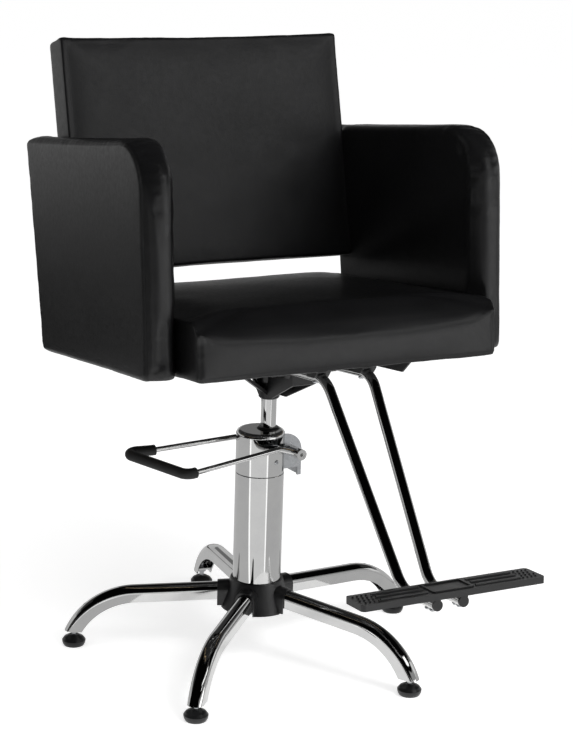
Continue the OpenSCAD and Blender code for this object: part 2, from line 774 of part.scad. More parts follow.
module bracket_screws() {
    color("silver") at_pump() for (y = [-1, 1])
        translate([flange_x + flange_w / 2, y * bracket_screw_y, cheek_foot_h]) {
            translate([0, 0, -bracket_screw_d]) cylinder(h = bracket_screw_d + cheek_t, r = bracket_screw_d / 2);
            translate([0, 0, cheek_t]) cylinder(h = cheek_t, r1 = bracket_screw_head_d / 2, r2 = bracket_screw_d / 2);
        }
}

// Pedal
module pedal_shaft() {
    color("silver") at_pump() translate([shaft_x, 0, shaft_h]) rotate([90, 0, 0]) difference() {
        cylinder(h = 2 * shaft_half, r = shaft_d / 2, center = true);
        for (s = [-1, 1]) translate([0, 0, s * shaft_half])
            cylinder(h = 2 * shaft_hole_t, r = shaft_hole_d / 2, center = true);
    }
}
module pedal_rod() {
    color("silver") at_pump() difference() {
        union() {
            bent_rod(pedal_path, pedal_bends, pedal_rod_d / 2);
            for (s = [-1, 1]) translate([shaft_x, s * (cheek_y + cheek_t + boss_gap + boss_len / 2), shaft_h])
                rotate([90, 0, 0]) cylinder(h = boss_len, r = boss_d / 2, center = true);
        }
        translate([shaft_x, 0, shaft_h]) rotate([90, 0, 0])
            cylinder(h = 3 * column_d, r = shaft_d / 2, center = true);
    }
}
grip_start_share = 0.09;
grip_path = [
    pedal_path[2] + (pedal_path[1] - pedal_path[2]) * grip_start_share,
    pedal_path[2],
    pedal_path[3],
    pedal_path[4],
    pedal_path[4] + (pedal_path[5] - pedal_path[4]) * grip_start_share / 3
];
grip_bends = [0, pedal_bends[2], pedal_bends[3], pedal_bends[4], 0];
module pedal_grip() {
    color("#1a1a1a") at_pump() difference() {
        bent_rod(grip_path, grip_bends, grip_d / 2);
        bent_rod(pedal_path, pedal_bends, pedal_rod_d / 2);
    }
}
module pump_yoke() {
    reach = shaft_x - plunger_x;
    rise = bar_h - shaft_h;
    arm = norm([reach, rise]);
    color("gray") at_pump() translate([shaft_x, 0, shaft_h]) difference() {
        union() {
            rotate([90, 0, 0]) cylinder(h = 2 * (cheek_y - cover_gap), r = yoke_hub_d / 2, center = true);
            for (s = [-1, 1]) translate([0, s * (yoke_y + yoke_t / 2), 0]) rotate([90, 0, 0])
                linear_extrude(yoke_t, center = true) {
                    rotate(180 - atan2(rise, reach)) translate([0, -yoke_bar_h / 2]) square([arm, yoke_bar_h]);
                    translate([-reach, rise]) circle(yoke_bar_h / 2);
                }
            translate([-reach, 0, rise]) rotate([90, 0, 0])
                cylinder(h = 2 * yoke_y + yoke_t, r = bar_d / 2, center = true);
        }
        rotate([90, 0, 0]) cylinder(h = column_d, r = shaft_d / 2, center = true);
    }
}
module plunger() {
    color("silver") at_pump() translate([plunger_x, 0, 0]) {
        translate([0, 0, plunger_foot_h])
            cylinder(h = cap_top_h - plunger_foot_h - over, r = plunger_d / 2);
        translate([0, 0, cap_top_h - plunger_cap_t]) cylinder(h = plunger_cap_t, r = plunger_cap_d / 2);
    }
}

// Return spring: one unbroken wire, its centre line a helix with flattened ends
spring_foot = body_top_h - pocket_depth + spring_wire_d / 2;
spring_head = cap_top_h - plunger_cap_t - spring_wire_d / 2;
spring_steps = spring_turns * 8;
spring_sides = 6;
function spring_point(t) = [
    spring_mean_d / 2 * cos(360 * spring_turns * t),
    spring_mean_d / 2 * sin(360 * spring_turns * t),
    spring_foot + (spring_head - spring_foot) * t
];
function spring_dir(t) = unit([
    -spring_mean_d / 2 * sin(360 * spring_turns * t),
    spring_mean_d / 2 * cos(360 * spring_turns * t),
    (spring_head - spring_foot) / (2 * PI * spring_turns)
]);
function spring_ring(t) =
    let (o = unit([cos(360 * spring_turns * t), sin(360 * spring_turns * t), 0]), u = cross(spring_dir(t), o))
    [for (k = [0:spring_sides - 1])
        let (a = 360 * k / spring_sides) spring_point(t) + spring_wire_d / 2 * (cos(a) * o + sin(a) * u)];
module plunger_spring() {
    n = spring_sides;
    points = [for (k = [0:spring_steps]) each spring_ring(k / spring_steps)];
    sides = [for (k = [0:spring_steps - 1], j = [0:n - 1])
        let (a = k * n + j, b = k * n + (j + 1) % n) each [[a, a + n, b + n], [a, b + n, b]]];
    start = [[for (j = [0:n - 1]) j]];
    finish = [[for (j = [n - 1:-1:0]) spring_steps * n + j]];
    color("gray") at_pump() translate([plunger_x, 0, 0])
        polyhedron(points, concat(sides, start, finish), convexity = 10);
}

// Ram
module ram() {
    color("silver") at_swivel() difference() {
        union() {
            translate([0, 0, ram_foot_h]) cylinder(h = ram_top_h - ram_foot_h - ram_chamfer, r = ram_d / 2);
            translate([0, 0, ram_top_h - ram_chamfer])
                cylinder(h = ram_chamfer, r1 = ram_d / 2, r2 = ram_d / 2 - ram_chamfer);
        }
        translate([0, 0, ram_seal_h]) difference() {
            cylinder(h = ram_seal_w, r = ram_d);
            translate([0, 0, -over]) cylinder(h = ram_seal_w + 2 * over, r = ram_d / 2 - ram_seal_depth);
        }
    }
}
module ram_seal() {
    color("#222222") at_swivel() translate([0, 0, ram_seal_h]) difference() {
        cylinder(h = ram_seal_w, r = ram_d / 2);
        translate([0, 0, -over]) cylinder(h = ram_seal_w + 2 * over, r = ram_d / 2 - ram_seal_depth);
    }
}
module thrust_washer() {
    color("goldenrod") at_swivel() translate([0, 0, ram_top_h]) difference() {
        cylinder(h = washer_t, r = ram_d / 2 - ram_chamfer);
        translate([0, 0, -over]) cylinder(h = washer_t + 2 * over, r = ram_d / 6);
    }
}

// Steelwork under the seat
module above_plate() {
    at_seat() translate([-plate_half * 2, -plate_half * 2, -plate_t])
        cube([plate_half * 4, plate_half * 4, plate_half * 2]);
}
module socket_form(ease) {
    rotate_extrude() polygon([
        [0, socket_h], [socket_d / 2 - ease, socket_h], [socket_d / 2, socket_h + ease],
        [socket_d / 2, socket_h + socket_collar_h], [funnel_neck_d / 2, socket_h + socket_collar_h + funnel_neck_h],
        [funnel_d / 2, seat_under_h], [0, seat_under_h]
    ]);
}
module socket() {
    color("#1b1b1b") difference() {
        at_swivel() difference() {
            socket_form(2 * over);
            translate([0, 0, socket_h - over])
                cylinder(h = ram_top_h + washer_t + soft_gap - socket_h + over, r = ram_d / 2 + run_fit);
        }
        above_plate();
    }
}
// Straight bar from the socket up to the mounting plate, in the plane of x and z
module side_arm() {
    rotate([90, 0, 0]) linear_extrude(spider_bar_w, center = true) polygon([
        [0, socket_h], [0, socket_h + spider_bar_t * 1.2],
        [side_arm_reach - spider_bar_t, seat_under_h + plate_t], [side_arm_reach, seat_under_h + plate_t]
    ]);
}
// Pressed channel, open below, that widens from the socket to the bar under the tubes
module front_arm_plan(inset) {
    root = front_arm_root_w / 2 - inset;
    end = front_arm_w / 2 - inset;
    y = swivel_y - front_arm_end + inset;
    linear_extrude(seat_under_h)
        polygon([[-root, swivel_y], [-end, y], [end, y], [root, swivel_y]]);
}
module front_arm_side(drop) {
    c = seat_point(0, -front_arm_end - drop, -front_arm_depth - drop);
    d = seat_point(0, -front_arm_end - drop, tube_z - tube_d / 2 - spider_bar_t / 2 - drop);
    e = seat_point(0, -front_arm_end + front_arm_step / 2, tube_z - tube_d / 2 - spider_bar_t / 2 - drop);
    f = seat_point(0, -front_arm_end + front_arm_step, -front_arm_top - drop);
    translate([-front_arm_w, 0, 0]) rotate([90, 0, 90]) linear_extrude(2 * front_arm_w) polygon([
        [swivel_y, socket_h + front_arm_low - drop], [swivel_y, socket_h + front_arm_high - drop],
        [f.y, f.z], [e.y, e.z], [d.y, d.z], [c.y, c.z],
        [swivel_y - front_arm_root, socket_h + front_arm_low + front_arm_wall - drop]
    ]);
}
module front_arm() {
    difference() {
        intersection() {
            front_arm_plan(0);
            front_arm_side(0);
        }
        for (k = [1, 3, 6, 12]) intersection() {
            front_arm_plan(front_arm_wall);
            front_arm_side(k * front_arm_wall);
        }
    }
}
module seat_spider() {
    color("#1b1b1b") {
        difference() {
            union() {
                for (a = [0, 90, 180]) at_swivel() rotate([0, 0, a]) side_arm();
                front_arm();
            }
            above_plate();
            at_swivel() socket_form(0);
        }
        at_seat() {
            translate([-cross_bar_half, -front_arm_end, tube_z - tube_d / 2 - spider_bar_t])
                cube([2 * cross_bar_half, cross_bar_d, spider_bar_t]);
            difference() {
                translate([0, 0, -plate_t]) linear_extrude(plate_t)
                    round_square(2 * plate_half, 2 * plate_half, plate_corner_r);
                plate_bolt_holes(bolt_d / 2 + bolt_fit);
            }
        }
    }
}
module plate_bolt_holes(r) {
    for (x = [-1, 1], y = [-1, 1]) translate([x * plate_bolt_half, y * plate_bolt_half, -plate_t - over])
        cylinder(h = plate_t + board_t * 0.8 + over, r = r);
}
module plate_bolts() {
    color("gray") at_seat() for (x = [-1, 1], y = [-1, 1])
        translate([x * plate_bolt_half, y * plate_bolt_half, -plate_t]) {
            cylinder(h = plate_t + board_t * 0.7, r = bolt_d / 2);
            translate([0, 0, -plate_bolt_head_h]) difference() {
                cylinder(h = plate_bolt_head_h, r = plate_bolt_head_d / 2, $fn = 6);
            }
        }
}

// Seat
module arm_bolt_places(r, x0, x1) {
    for (s = [-1, 1], y = arm_bolt_shares) translate([s * (x0 + x1) / 2, y * arm_front, board_t / 2])
        rotate([0, 90, 0]) cylinder(h = x1 - x0, r = r, center = true);
}
module board_form(grow) {
    translate([0, (seat_back - seat_front) / 2, -over * grow])
        linear_extrude(board_t + over * grow)
            round_square(2 * (seat_half - board_inset), seat_front + seat_back - 2 * board_inset, seat_corner_r - board_inset / 2);
}
module seat_board() {
    edge = seat_half - board_inset;
    color("burlywood") at_seat() difference() {
        board_form(0);
        plate_bolt_holes(bolt_d / 2 + bolt_fit);
        arm_bolt_places(bolt_d / 2, edge - bolt_grip, edge + over);
        clamp_screw_places(clamp_screw_d / 2);
        rail_screw_places(clamp_screw_d / 2);
    }
}
module seat_cushion() {
    edge = seat_half - board_inset;
    corners = [[-seat_half, -seat_front], [seat_half, -seat_front], [seat_half, seat_back], [-seat_half, seat_back]];
    color("#202022") at_seat() difference() {
        pad(corners, [for (i = [0:3]) seat_corner_r], [4, 4, 4, 4], [for (i = [0:3]) side_draw], seat_round_shares, 4,
            [0, (seat_back - seat_front) / 2],
            pad_levels(seat_t, 0, seat_crown, seat_low_r, seat_edge_r, side_draw), seat_t);
        board_form(1);
        arm_bolt_places(bolt_d / 2 + bolt_fit, edge, seat_half + over);
    }
}

// Arms: outlines lie in the plane of depth and height
function arm_corners(inset, foot) = [
    [-arm_front + inset, foot],
    [arm_back - inset, foot],
    [arm_back + arm_back_lean - inset, arm_top - inset - (arm_back_lean - arm_front_lean) * 0.2],
    [-arm_front - arm_front_lean + inset, arm_top - inset]
];
module arm_places(side) { at_seat() scale([1, 1, 1]) mirror([side < 0 ? 1 : 0, 0, 0]) children(); }
module panel_form(grow) {
    line = outline(arm_corners(panel_inset, arm_bottom - over * grow),
        [over, over, arm_small_r / 2, arm_corner_r - panel_inset], [1, 1, 4, 12], [0, 0, 0, 0], [1, 1, 1, 1], 1);
    translate([panel_x - panel_t / 2, 0, 0]) rotate([90, 0, 90]) linear_extrude(panel_t)
        polygon([for (e = line) e[0]]);
}
module back_bolt_places(r, x0, x1) {
    translate([0, back_y, back_z]) rotate([-back_recline, 0, 0])
        for (z = back_bolt_shares) translate([(x0 + x1) / 2, back_t / 2, z * back_h])
            rotate([0, 90, 0]) cylinder(h = x1 - x0, r = r, center = true);
}
module arm_panel(side) {
    inner = panel_x - panel_t / 2;
    color("burlywood") arm_places(side) difference() {
        panel_form(0);
        arm_bolt_places(bolt_d / 2, inner - over, inner + bolt_grip);
        back_bolt_places(bolt_d / 2, inner - over, inner + bolt_grip);
    }
}
module arm_pad(side) {
    inner = overall_w / 2 - arm_t;
    middle = [(arm_back - arm_front) / 2, arm_top / 2];
    color("#202022") arm_places(side) difference() {
        translate([inner, 0, 0]) rotate([90, 0, 90])
            pad(arm_corners(0, arm_bottom), [arm_small_r, arm_small_r, arm_small_r, arm_corner_r], [4, 4, 4, 9],
                [for (i = [0:3]) side_draw], arm_round_shares, 4, middle,
                pad_levels(arm_t, arm_crown_in, arm_crown_out, arm_edge_r, arm_edge_r, side_draw / 2), arm_t);
        panel_form(1);
        arm_bolt_places(bolt_d / 2 + bolt_fit, inner - over, panel_x);
        back_bolt_places(bolt_d / 2 + bolt_fit, inner - over, panel_x);
    }
}
module arm_bolts() {
    color("gray") at_seat() arm_bolt_places(bolt_d / 2, seat_half - board_inset - bolt_grip, panel_x - panel_t / 2 + bolt_grip);
}

// Backrest
module back_board_form(grow) {
    half = seat_half - panel_inset;
    translate([-half, (back_t - back_board_t) / 2, -over * grow])
        cube([2 * half, back_board_t, back_h - panel_inset + over * grow]);
}
module at_back_sides() { for (s = [0, 1]) mirror([s, 0, 0]) children(); }
module back_board() {
    edge = seat_half - panel_inset;
    color("burlywood") difference() {
        at_back() back_board_form(0);
        at_seat() at_back_sides() back_bolt_places(bolt_d / 2, edge - bolt_grip, edge + over);
    }
}
module backrest() {
    edge = seat_half - panel_inset;
    corners = [[-seat_half, 0], [seat_half, 0], [seat_half, back_h], [-seat_half, back_h]];
    color("#202022") difference() {
        at_back() translate([0, back_t, 0]) rotate([90, 0, 0])
            pad(corners, [for (i = [0:3]) back_corner_r], [4, 4, 4, 4],
                [side_draw, side_draw, back_top_draw, side_draw], back_round_shares, 6, [0, back_h / 2],
                pad_levels(back_t, back_crown_rear, back_crown_front, back_rear_r, back_edge_r, side_draw), back_t);
        at_back() back_board_form(1);
        at_seat() at_back_sides() back_bolt_places(bolt_d / 2 + bolt_fit, edge, seat_half + over);
    }
}
module back_bolts() {
    color("gray") at_seat() at_back_sides()
        back_bolt_places(bolt_d / 2, seat_half - panel_inset - bolt_grip, panel_x - panel_t / 2 + bolt_grip);
}

// Footrest
tube_top_y = -footrest_reach * 0.443;
tube_path_shares = [0.27, 2.14];
function tube_path(s) = [
    seat_point(s * tube_gap_top / 2, -tube_rear, tube_z),
    seat_point(s * tube_gap_top / 2, tube_top_y, tube_z),
    foot_point(s * (tube_gap_low / 2 + tube_wall), footrest_d * tube_path_shares[1], -tube_drop),
    foot_point(s * tube_gap_low / 2, footrest_d * tube_path_shares[0] + cap_t, -tube_drop)
];
tube_bends = [0, tube_bend_r, tube_low_bend_r, 0];
module footrest_tube(s) {
    color("silver") difference() {
        bent_rod(tube_path(s), tube_bends, tube_d / 2);
        bent_rod(tube_path(s), tube_bends, tube_d / 2 - tube_wall, over);
        foot_screw_places(foot_screw_d / 2);
        at_seat() clamp_screw_places(clamp_screw_d / 2);
    }
}
module foot_screw_places(r) {
    for (s = [-1, 1], y = foot_screw_shares)
        translate(foot_point(s * (tube_gap_low / 2 + tube_wall * y), footrest_d * y, 0)) rotate([-footrest_pitch, 0, 0])
            translate([0, 0, -tube_drop - tube_d / 2 - over]) cylinder(h = tube_drop + tube_d / 2 + over, r = r);
}
module tube_caps() {
    color("#161616") for (s = [-1, 1]) {
        p = tube_path(s)[3];
        d = unit(p - tube_path(s)[2]);
        straight_rod(p, p + d * cap_t, tube_d / 2);
        straight_rod(p - d * cap_spigot, p, tube_d / 2 - tube_wall);
    }
}
module clamp_screw_places(r) {
    for (s = [-1, 1]) translate([s * tube_gap_top / 2, -clamp_screw_y, tube_z - tube_d / 2 - over])
        cylinder(h = tube_d / 2 - tube_z + board_t * 0.7 + over, r = r);
}
// Two blocks that space the tubes from the board, each grooved for its tube and screwed through it
module tube_clamp() {
    color("#1b1b1b") difference() {
        at_seat() for (s = [-1, 1]) translate([s * tube_gap_top / 2 - clamp_w / 2, 0, 0])
            rotate([90, 0, 90]) linear_extrude(clamp_w) polygon([
                [-clamp_rear, 0], [-clamp_front, 0], [-clamp_front, clamp_nose - clamp_h],
                [-clamp_front + clamp_nose, -clamp_h], [-clamp_rear, -clamp_h]
            ]);
        for (s = [-1, 1]) bent_rod(tube_path(s), tube_bends, tube_d / 2);
        at_seat() clamp_screw_places(clamp_screw_d / 2);
    }
}
module clamp_screws() {
    color("gray") at_seat() for (s = [-1, 1]) translate([s * tube_gap_top / 2, -clamp_screw_y, tube_z - tube_d / 2]) {
        cylinder(h = tube_d / 2 - tube_z + board_t * 0.6, r = clamp_screw_d / 2);
        translate([0, 0, -clamp_screw_d / 2]) cylinder(h = clamp_screw_d / 2, r1 = clamp_screw_d * 0.7, r2 = clamp_screw_d);
    }
}

// Angle rail under the seat's left side
module rail_screw_places(r) {
    for (k = rail_screw_shares)
        translate([rail_x + rail_t + rail_flange / 2, -rail_rear - (rail_front - rail_rear) * k, -rail_t - over])
            cylinder(h = rail_t + board_t * 0.7 + over, r = r);
}
module seat_rail() {
    color("#1b1b1b") at_seat() difference() {
        union() {
            translate([rail_x, 0, 0]) rotate([90, 0, 90]) linear_extrude(rail_t) polygon([
                [-rail_rear, 0], [-rail_front, 0], [-rail_front, rail_nose_h - rail_h],
                [-rail_front + rail_nose, -rail_h], [-rail_rear, -rail_h]
            ]);
            translate([rail_x, -rail_front, -rail_t]) cube([rail_t + rail_flange, rail_front - rail_rear, rail_t]);
        }
        rail_screw_places(clamp_screw_d / 2 + bolt_fit);
    }
}
module rail_screws() {
    color("gray") at_seat() for (k = rail_screw_shares)
        translate([rail_x + rail_t + rail_flange / 2, -rail_rear - (rail_front - rail_rear) * k, -rail_t]) {
            cylinder(h = rail_t + board_t * 0.6, r = clamp_screw_d / 2);
            translate([0, 0, -clamp_screw_d / 2])
                cylinder(h = clamp_screw_d / 2, r1 = clamp_screw_d * 0.7, r2 = clamp_screw_d);
        }
}
module rib_bar(length, w) {
    rotate([90, 0, 90]) linear_extrude(length)
        polygon([[-w / 2, -over], [w / 2, -over], [w / 3, foot_rib_h], [-w / 3, foot_rib_h]]);
}
module footrest_plate() {
    inner_d = footrest_d - 2 * foot_rim;
    rib_start = foot_frame_w / 2 + foot_rim;
    rib_len = footrest_w / 2 - dot_zone_w - rib_start;
    color("#1a1a1a") difference() {
        at_footrest() {
            translate([0, footrest_d / 2, 0]) linear_extrude(footrest_t - foot_rib_h)
                round_square(footrest_w, footrest_d, foot_corner_r);
            translate([0, footrest_d / 2, footrest_t - foot_rib_h]) {
                for (s = [0, 1]) mirror([s, 0, 0]) {
                    for (k = [0:foot_ribs - 1])
                        translate([rib_start, inner_d * ((k + 0.5) / foot_ribs - 0.5), 0]) rib_bar(rib_len, foot_rib_w);
                    for (i = [0:dot_cols - 1], j = [0:dot_rows - 1])
                        translate([
                            footrest_w / 2 - dot_zone_w + (i + 0.5 + (j % 2) / 2) * dot_zone_w / (dot_cols + 1),
                            inner_d * ((j + 0.5) / dot_rows - 0.5), -over
                        ]) cylinder(h = dot_h + over, r1 = dot_d / 2 + over / 3, r2 = dot_d / 3, $fn = 16);
                }
                linear_extrude(foot_rib_h) difference() {
                    round_square(foot_frame_w, inner_d, foot_frame_t);
                    round_square(foot_frame_w - 2 * foot_frame_t, inner_d - 2 * foot_frame_t, foot_frame_t / 2);
                }
            }
            for (s = [-1, 1]) translate([s * (tube_gap_low / 2 + tube_wall / 2) - saddle_w / 2, footrest_d * saddle_shares[0], -tube_drop])
                cube([saddle_w, footrest_d * (saddle_shares[1] - saddle_shares[0]), tube_drop + over]);
        }
        for (s = [-1, 1]) {
            q = tube_path(s)[3];
            straight_rod(tube_path(s)[2], q + 2 * cap_t * unit(q - tube_path(s)[2]), tube_d / 2);
        }
        foot_screw_places(foot_screw_d / 2);
    }
}
module footrest_screws() {
    color("gray") for (s = [-1, 1], y = foot_screw_shares)
        translate(foot_point(s * (tube_gap_low / 2 + tube_wall * y), footrest_d * y, 0)) rotate([-footrest_pitch, 0, 0]) {
            translate([0, 0, -tube_drop - tube_d / 2]) cylinder(h = tube_drop + tube_d / 2, r = foot_screw_d / 2);
            translate([0, 0, -tube_drop - tube_d / 2 - foot_screw_d / 2])
                cylinder(h = foot_screw_d / 2, r1 = foot_screw_d * 0.7, r2 = foot_screw_d);
        }
}

for (i = [1:leg_count]) {
    leg(i);
    glide_pad(i);
    glide_stud(i);
}
jam_nuts();
hub_ring();
hub_cover();
clamp_bolt();
column_sleeve();
pump_body();
head_cover();
gland();
cover_screw();
pump_bracket();
bracket_screws();
pedal_shaft();
pedal_rod();
pedal_grip();
pump_yoke();
plunger();
plunger_spring();
ram();
ram_seal();
thrust_washer();
socket();
seat_spider();
plate_bolts();
seat_board();
seat_cushion();
arm_panel(1);  // arm_panel_right
arm_panel(-1);  // arm_panel_left
arm_bolts();
arm_pad(1);  // arm_pad_right
arm_pad(-1);  // arm_pad_left
back_board();
backrest();
back_bolts();
tube_clamp();
clamp_screws();
seat_rail();
rail_screws();
footrest_tube(1);  // footrest_tube_right
footrest_tube(-1);  // footrest_tube_left
tube_caps();
footrest_plate();
footrest_screws();
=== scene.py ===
import math

import bpy
import numpy as np
from mathutils import Matrix, Vector, noise
from mathutils.kdtree import KDTree
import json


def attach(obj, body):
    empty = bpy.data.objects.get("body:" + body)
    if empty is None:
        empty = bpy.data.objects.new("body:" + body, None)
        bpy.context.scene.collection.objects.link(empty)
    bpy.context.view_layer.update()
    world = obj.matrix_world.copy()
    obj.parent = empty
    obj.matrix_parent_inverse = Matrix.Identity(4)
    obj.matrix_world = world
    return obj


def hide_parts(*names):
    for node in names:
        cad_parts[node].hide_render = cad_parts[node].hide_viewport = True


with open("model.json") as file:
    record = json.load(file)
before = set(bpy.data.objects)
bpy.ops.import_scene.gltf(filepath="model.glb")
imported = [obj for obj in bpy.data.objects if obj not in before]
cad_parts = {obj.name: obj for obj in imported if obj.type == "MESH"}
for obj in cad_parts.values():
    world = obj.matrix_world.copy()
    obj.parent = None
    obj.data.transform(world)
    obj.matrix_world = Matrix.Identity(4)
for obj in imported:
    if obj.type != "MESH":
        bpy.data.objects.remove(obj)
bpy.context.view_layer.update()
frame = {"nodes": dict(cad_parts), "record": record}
nodes = frame["nodes"]

# Places, in metres, in the chair's own frame
SWIVEL_Y = 0.1232665
SEAT_HEIGHT = 0.511
SEAT_TILT = 7.4
BACK_RECLINE = 6.8
SEAT = Matrix.Translation((0, SWIVEL_Y, SEAT_HEIGHT)) @ Matrix.Rotation(math.radians(-SEAT_TILT), 4, "X")
BACK_BEHIND = 0.178
BACK_ABOVE = 0.123
BACK_LEAN = Matrix.Rotation(math.radians(-BACK_RECLINE), 4, "X")
BACK = SEAT @ Matrix.Translation((0, BACK_BEHIND, BACK_ABOVE)) @ BACK_LEAN
SEAT_HALF = 0.2507
SEAT_FRONT = 0.277
SEAT_BACK = 0.229
SEAT_THICK = 0.092
SEAT_EDGE = 0.036
SEAT_SHARES = (1, 0.25, 0.35, 0.25)
ARM_THICK = 0.049
ARM_OUT = 0.300
ARM_FRONT = 0.208
ARM_BACK = 0.233
ARM_TOP = 0.351
ARM_FOOT = -0.0023
ARM_LEAN_FRONT = 0.011
ARM_LEAN_BACK = 0.034
ARM_CORNER = 0.072
ARM_SMALL_CORNER = 0.014
ARM_EDGE = 0.013
ARM_SHARES = (0.3, 0.6, 1, 1)
BACK_HIGH = 0.379
BACK_THICK = 0.061
BACK_EDGE = 0.008
BACK_REAR_EDGE = 0.006
BACK_SHARES = (0.8, 1, 0.4, 1)
CUSHION_CORNER = 0.010
# The covers start a little smaller than the space that they fill, and wrap just under the boards.
SHRINK = 0.0012
WRAP = 0.0020


# Camera, fitted to the photograph
CAMERA_PLACE = (-1.38353, -2.64437, 1.30128)
CAMERA_TURN = -27.06
CAMERA_RISE = 15.15
CAMERA_ROLL = 1.81
LENS_MM = 95.563
FILM_MM = 36


def set_camera():
    turn, rise, roll = math.radians(CAMERA_TURN), math.radians(CAMERA_RISE), math.radians(CAMERA_ROLL)
    back = Vector((math.sin(turn) * math.cos(rise), -math.cos(turn) * math.cos(rise), math.sin(rise)))
    right = Vector((math.cos(turn), math.sin(turn), 0))
    up = back.cross(right)
    across = math.cos(roll) * right + math.sin(roll) * up
    upward = -math.sin(roll) * right + math.cos(roll) * up
    camera = bpy.data.objects.new("camera", bpy.data.cameras.new("camera"))
    bpy.context.collection.objects.link(camera)
    camera.data.lens = LENS_MM
    camera.data.sensor_width = FILM_MM
    camera.data.sensor_fit = "AUTO"
    facing = Matrix((across, upward, back)).transposed().to_4x4()
    camera.matrix_world = Matrix.Translation(CAMERA_PLACE) @ facing
    bpy.context.scene.camera = camera


set_camera()


# Materials
def linear(code):
    """sRGB hex to linear red, green, blue and alpha."""
    parts = [int(code[i:i + 2], 16) / 255 for i in (1, 3, 5)]
    return [*[c / 12.92 if c <= 0.04045 else ((c + 0.055) / 1.055) ** 2.4 for c in parts], 1.0]


def per_mm(size):
    """Texture scale whose repeat is that many millimetres, in coordinates that are in metres."""
    return 1000.0 / size


def add(tree, kind, links=(), **settings):
    """Adds a node. A setting whose name starts with in_ is a socket's value, and links join sockets to it."""
    made = tree.nodes.new(kind)
    for name, value in settings.items():
        if not name.startswith("in_"):
            setattr(made, name, value)
    for name, value in settings.items():
        if name.startswith("in_"):
            made.inputs[name[3:].replace("_", " ")].default_value = value
    for socket, source in dict(links).items():
        tree.links.new(source, made.inputs[socket])
    return made


def new_material(name):
    made = bpy.data.materials.new(name)
    made.use_nodes = True
    made.node_tree.nodes.clear()
    return made, made.node_tree


def stops(ramp, *pairs):
    """Sets a colour ramp's stops from (place, colour) pairs."""
    band = ramp.color_ramp
    while len(band.elements) > 1:
        band.elements.remove(band.elements[-1])
    band.elements[0].position, band.elements[0].color = pairs[0]
    for place, colour in pairs[1:]:
        band.elements.new(place).color = colour
    return ramp


def finish_surface(tree, shader):
    add(tree, "ShaderNodeOutputMaterial", {"Surface": shader.outputs[0]})


def pvc_leatherette():
    # Black PVC-coated cloth, calendered with a fine leather grain: an even near-black with a low, wide sheen
    # that breaks up slightly over the grain and dulls where it is stretched.
    made, tree = new_material("pvc_leatherette_black")
    place = add(tree, "ShaderNodeTexCoord").outputs["Object"]
    # The real grain's pebbles are 0.8 mm across; they are drawn 2.4 mm so that they show at all.
    pebbles = add(tree, "ShaderNodeTexVoronoi", {"Vector": place}, feature="SMOOTH_F1", in_Scale=per_mm(2.4),
                  in_Smoothness=0.6, in_Randomness=1.0)
    creases = add(tree, "ShaderNodeTexNoise", {"Vector": place}, in_Scale=per_mm(7), in_Detail=5.0,
                  in_Roughness=0.6)
    height = add(tree, "ShaderNodeMath", {0: pebbles.outputs["Distance"], 1: creases.outputs["Fac"]},
                 operation="MULTIPLY_ADD")
    tree.links.new(creases.outputs["Fac"], height.inputs[2])
    bump = add(tree, "ShaderNodeBump", {"Height": height.outputs[0]}, in_Strength=0.16, in_Distance=0.0004)
    stretch = add(tree, "ShaderNodeTexNoise", {"Vector": place}, in_Scale=per_mm(90), in_Detail=3.0)
    colour = stops(add(tree, "ShaderNodeValToRGB", {"Fac": stretch.outputs["Fac"]}),
                   (0.3, linear("#111112")), (0.7, linear("#161617")))
    dull = add(tree, "ShaderNodeMapRange", {"Value": creases.outputs["Fac"]},
               in_From_Min=0.3, in_From_Max=0.7, in_To_Min=0.34, in_To_Max=0.43)
    sources = {"Base Color": colour.outputs[0], "Roughness": dull.outputs[0], "Normal": bump.outputs[0]}
    shader = add(tree, "ShaderNodeBsdfPrincipled", sources, in_IOR=1.45)
    finish_surface(tree, shader)
    return made


def chrome_plate():
    # Bright chromium over nickel on polished steel: a near mirror in a neutral grey, with faint wiping marks.
    made, tree = new_material("chrome_plate_polished")
    place = add(tree, "ShaderNodeTexCoord").outputs["Object"]
    wiping = add(tree, "ShaderNodeTexNoise", {"Vector": place}, in_Scale=per_mm(45), in_Detail=6.0,
                 in_Roughness=0.7)
    gloss = add(tree, "ShaderNodeMapRange", {"Value": wiping.outputs["Fac"]},
                in_From_Min=0.35, in_From_Max=0.75, in_To_Min=0.035, in_To_Max=0.085)
    tone = stops(add(tree, "ShaderNodeValToRGB", {"Fac": wiping.outputs["Fac"]}),
                 (0.3, linear("#cbcbca")), (0.7, linear("#c3c3c3")))
    sources = {"Base Color": tone.outputs[0], "Roughness": gloss.outputs[0]}
    shader = add(tree, "ShaderNodeBsdfPrincipled", sources, in_Metallic=1.0)
    finish_surface(tree, shader)
    return made


def zinc_plate():
    # Electroplated bright zinc on pressed and turned steel: pale grey, half-shiny, with cloudy dull patches.
    made, tree = new_material("zinc_plate_on_steel")
    place = add(tree, "ShaderNodeTexCoord").outputs["Object"]
    cloud = add(tree, "ShaderNodeTexNoise", {"Vector": place}, in_Scale=per_mm(9), in_Detail=5.0,
                in_Roughness=0.65)
    gloss = add(tree, "ShaderNodeMapRange", {"Value": cloud.outputs["Fac"]},
                in_From_Min=0.3, in_From_Max=0.7, in_To_Min=0.22, in_To_Max=0.42)
    tone = stops(add(tree, "ShaderNodeValToRGB", {"Fac": cloud.outputs["Fac"]}),
                 (0.3, linear("#bcbec0")), (0.7, linear("#a3a5a8")))
    sources = {"Base Color": tone.outputs[0], "Roughness": gloss.outputs[0]}
    shader = add(tree, "ShaderNodeBsdfPrincipled", sources, in_Metallic=1.0)
    finish_surface(tree, shader)
    return made


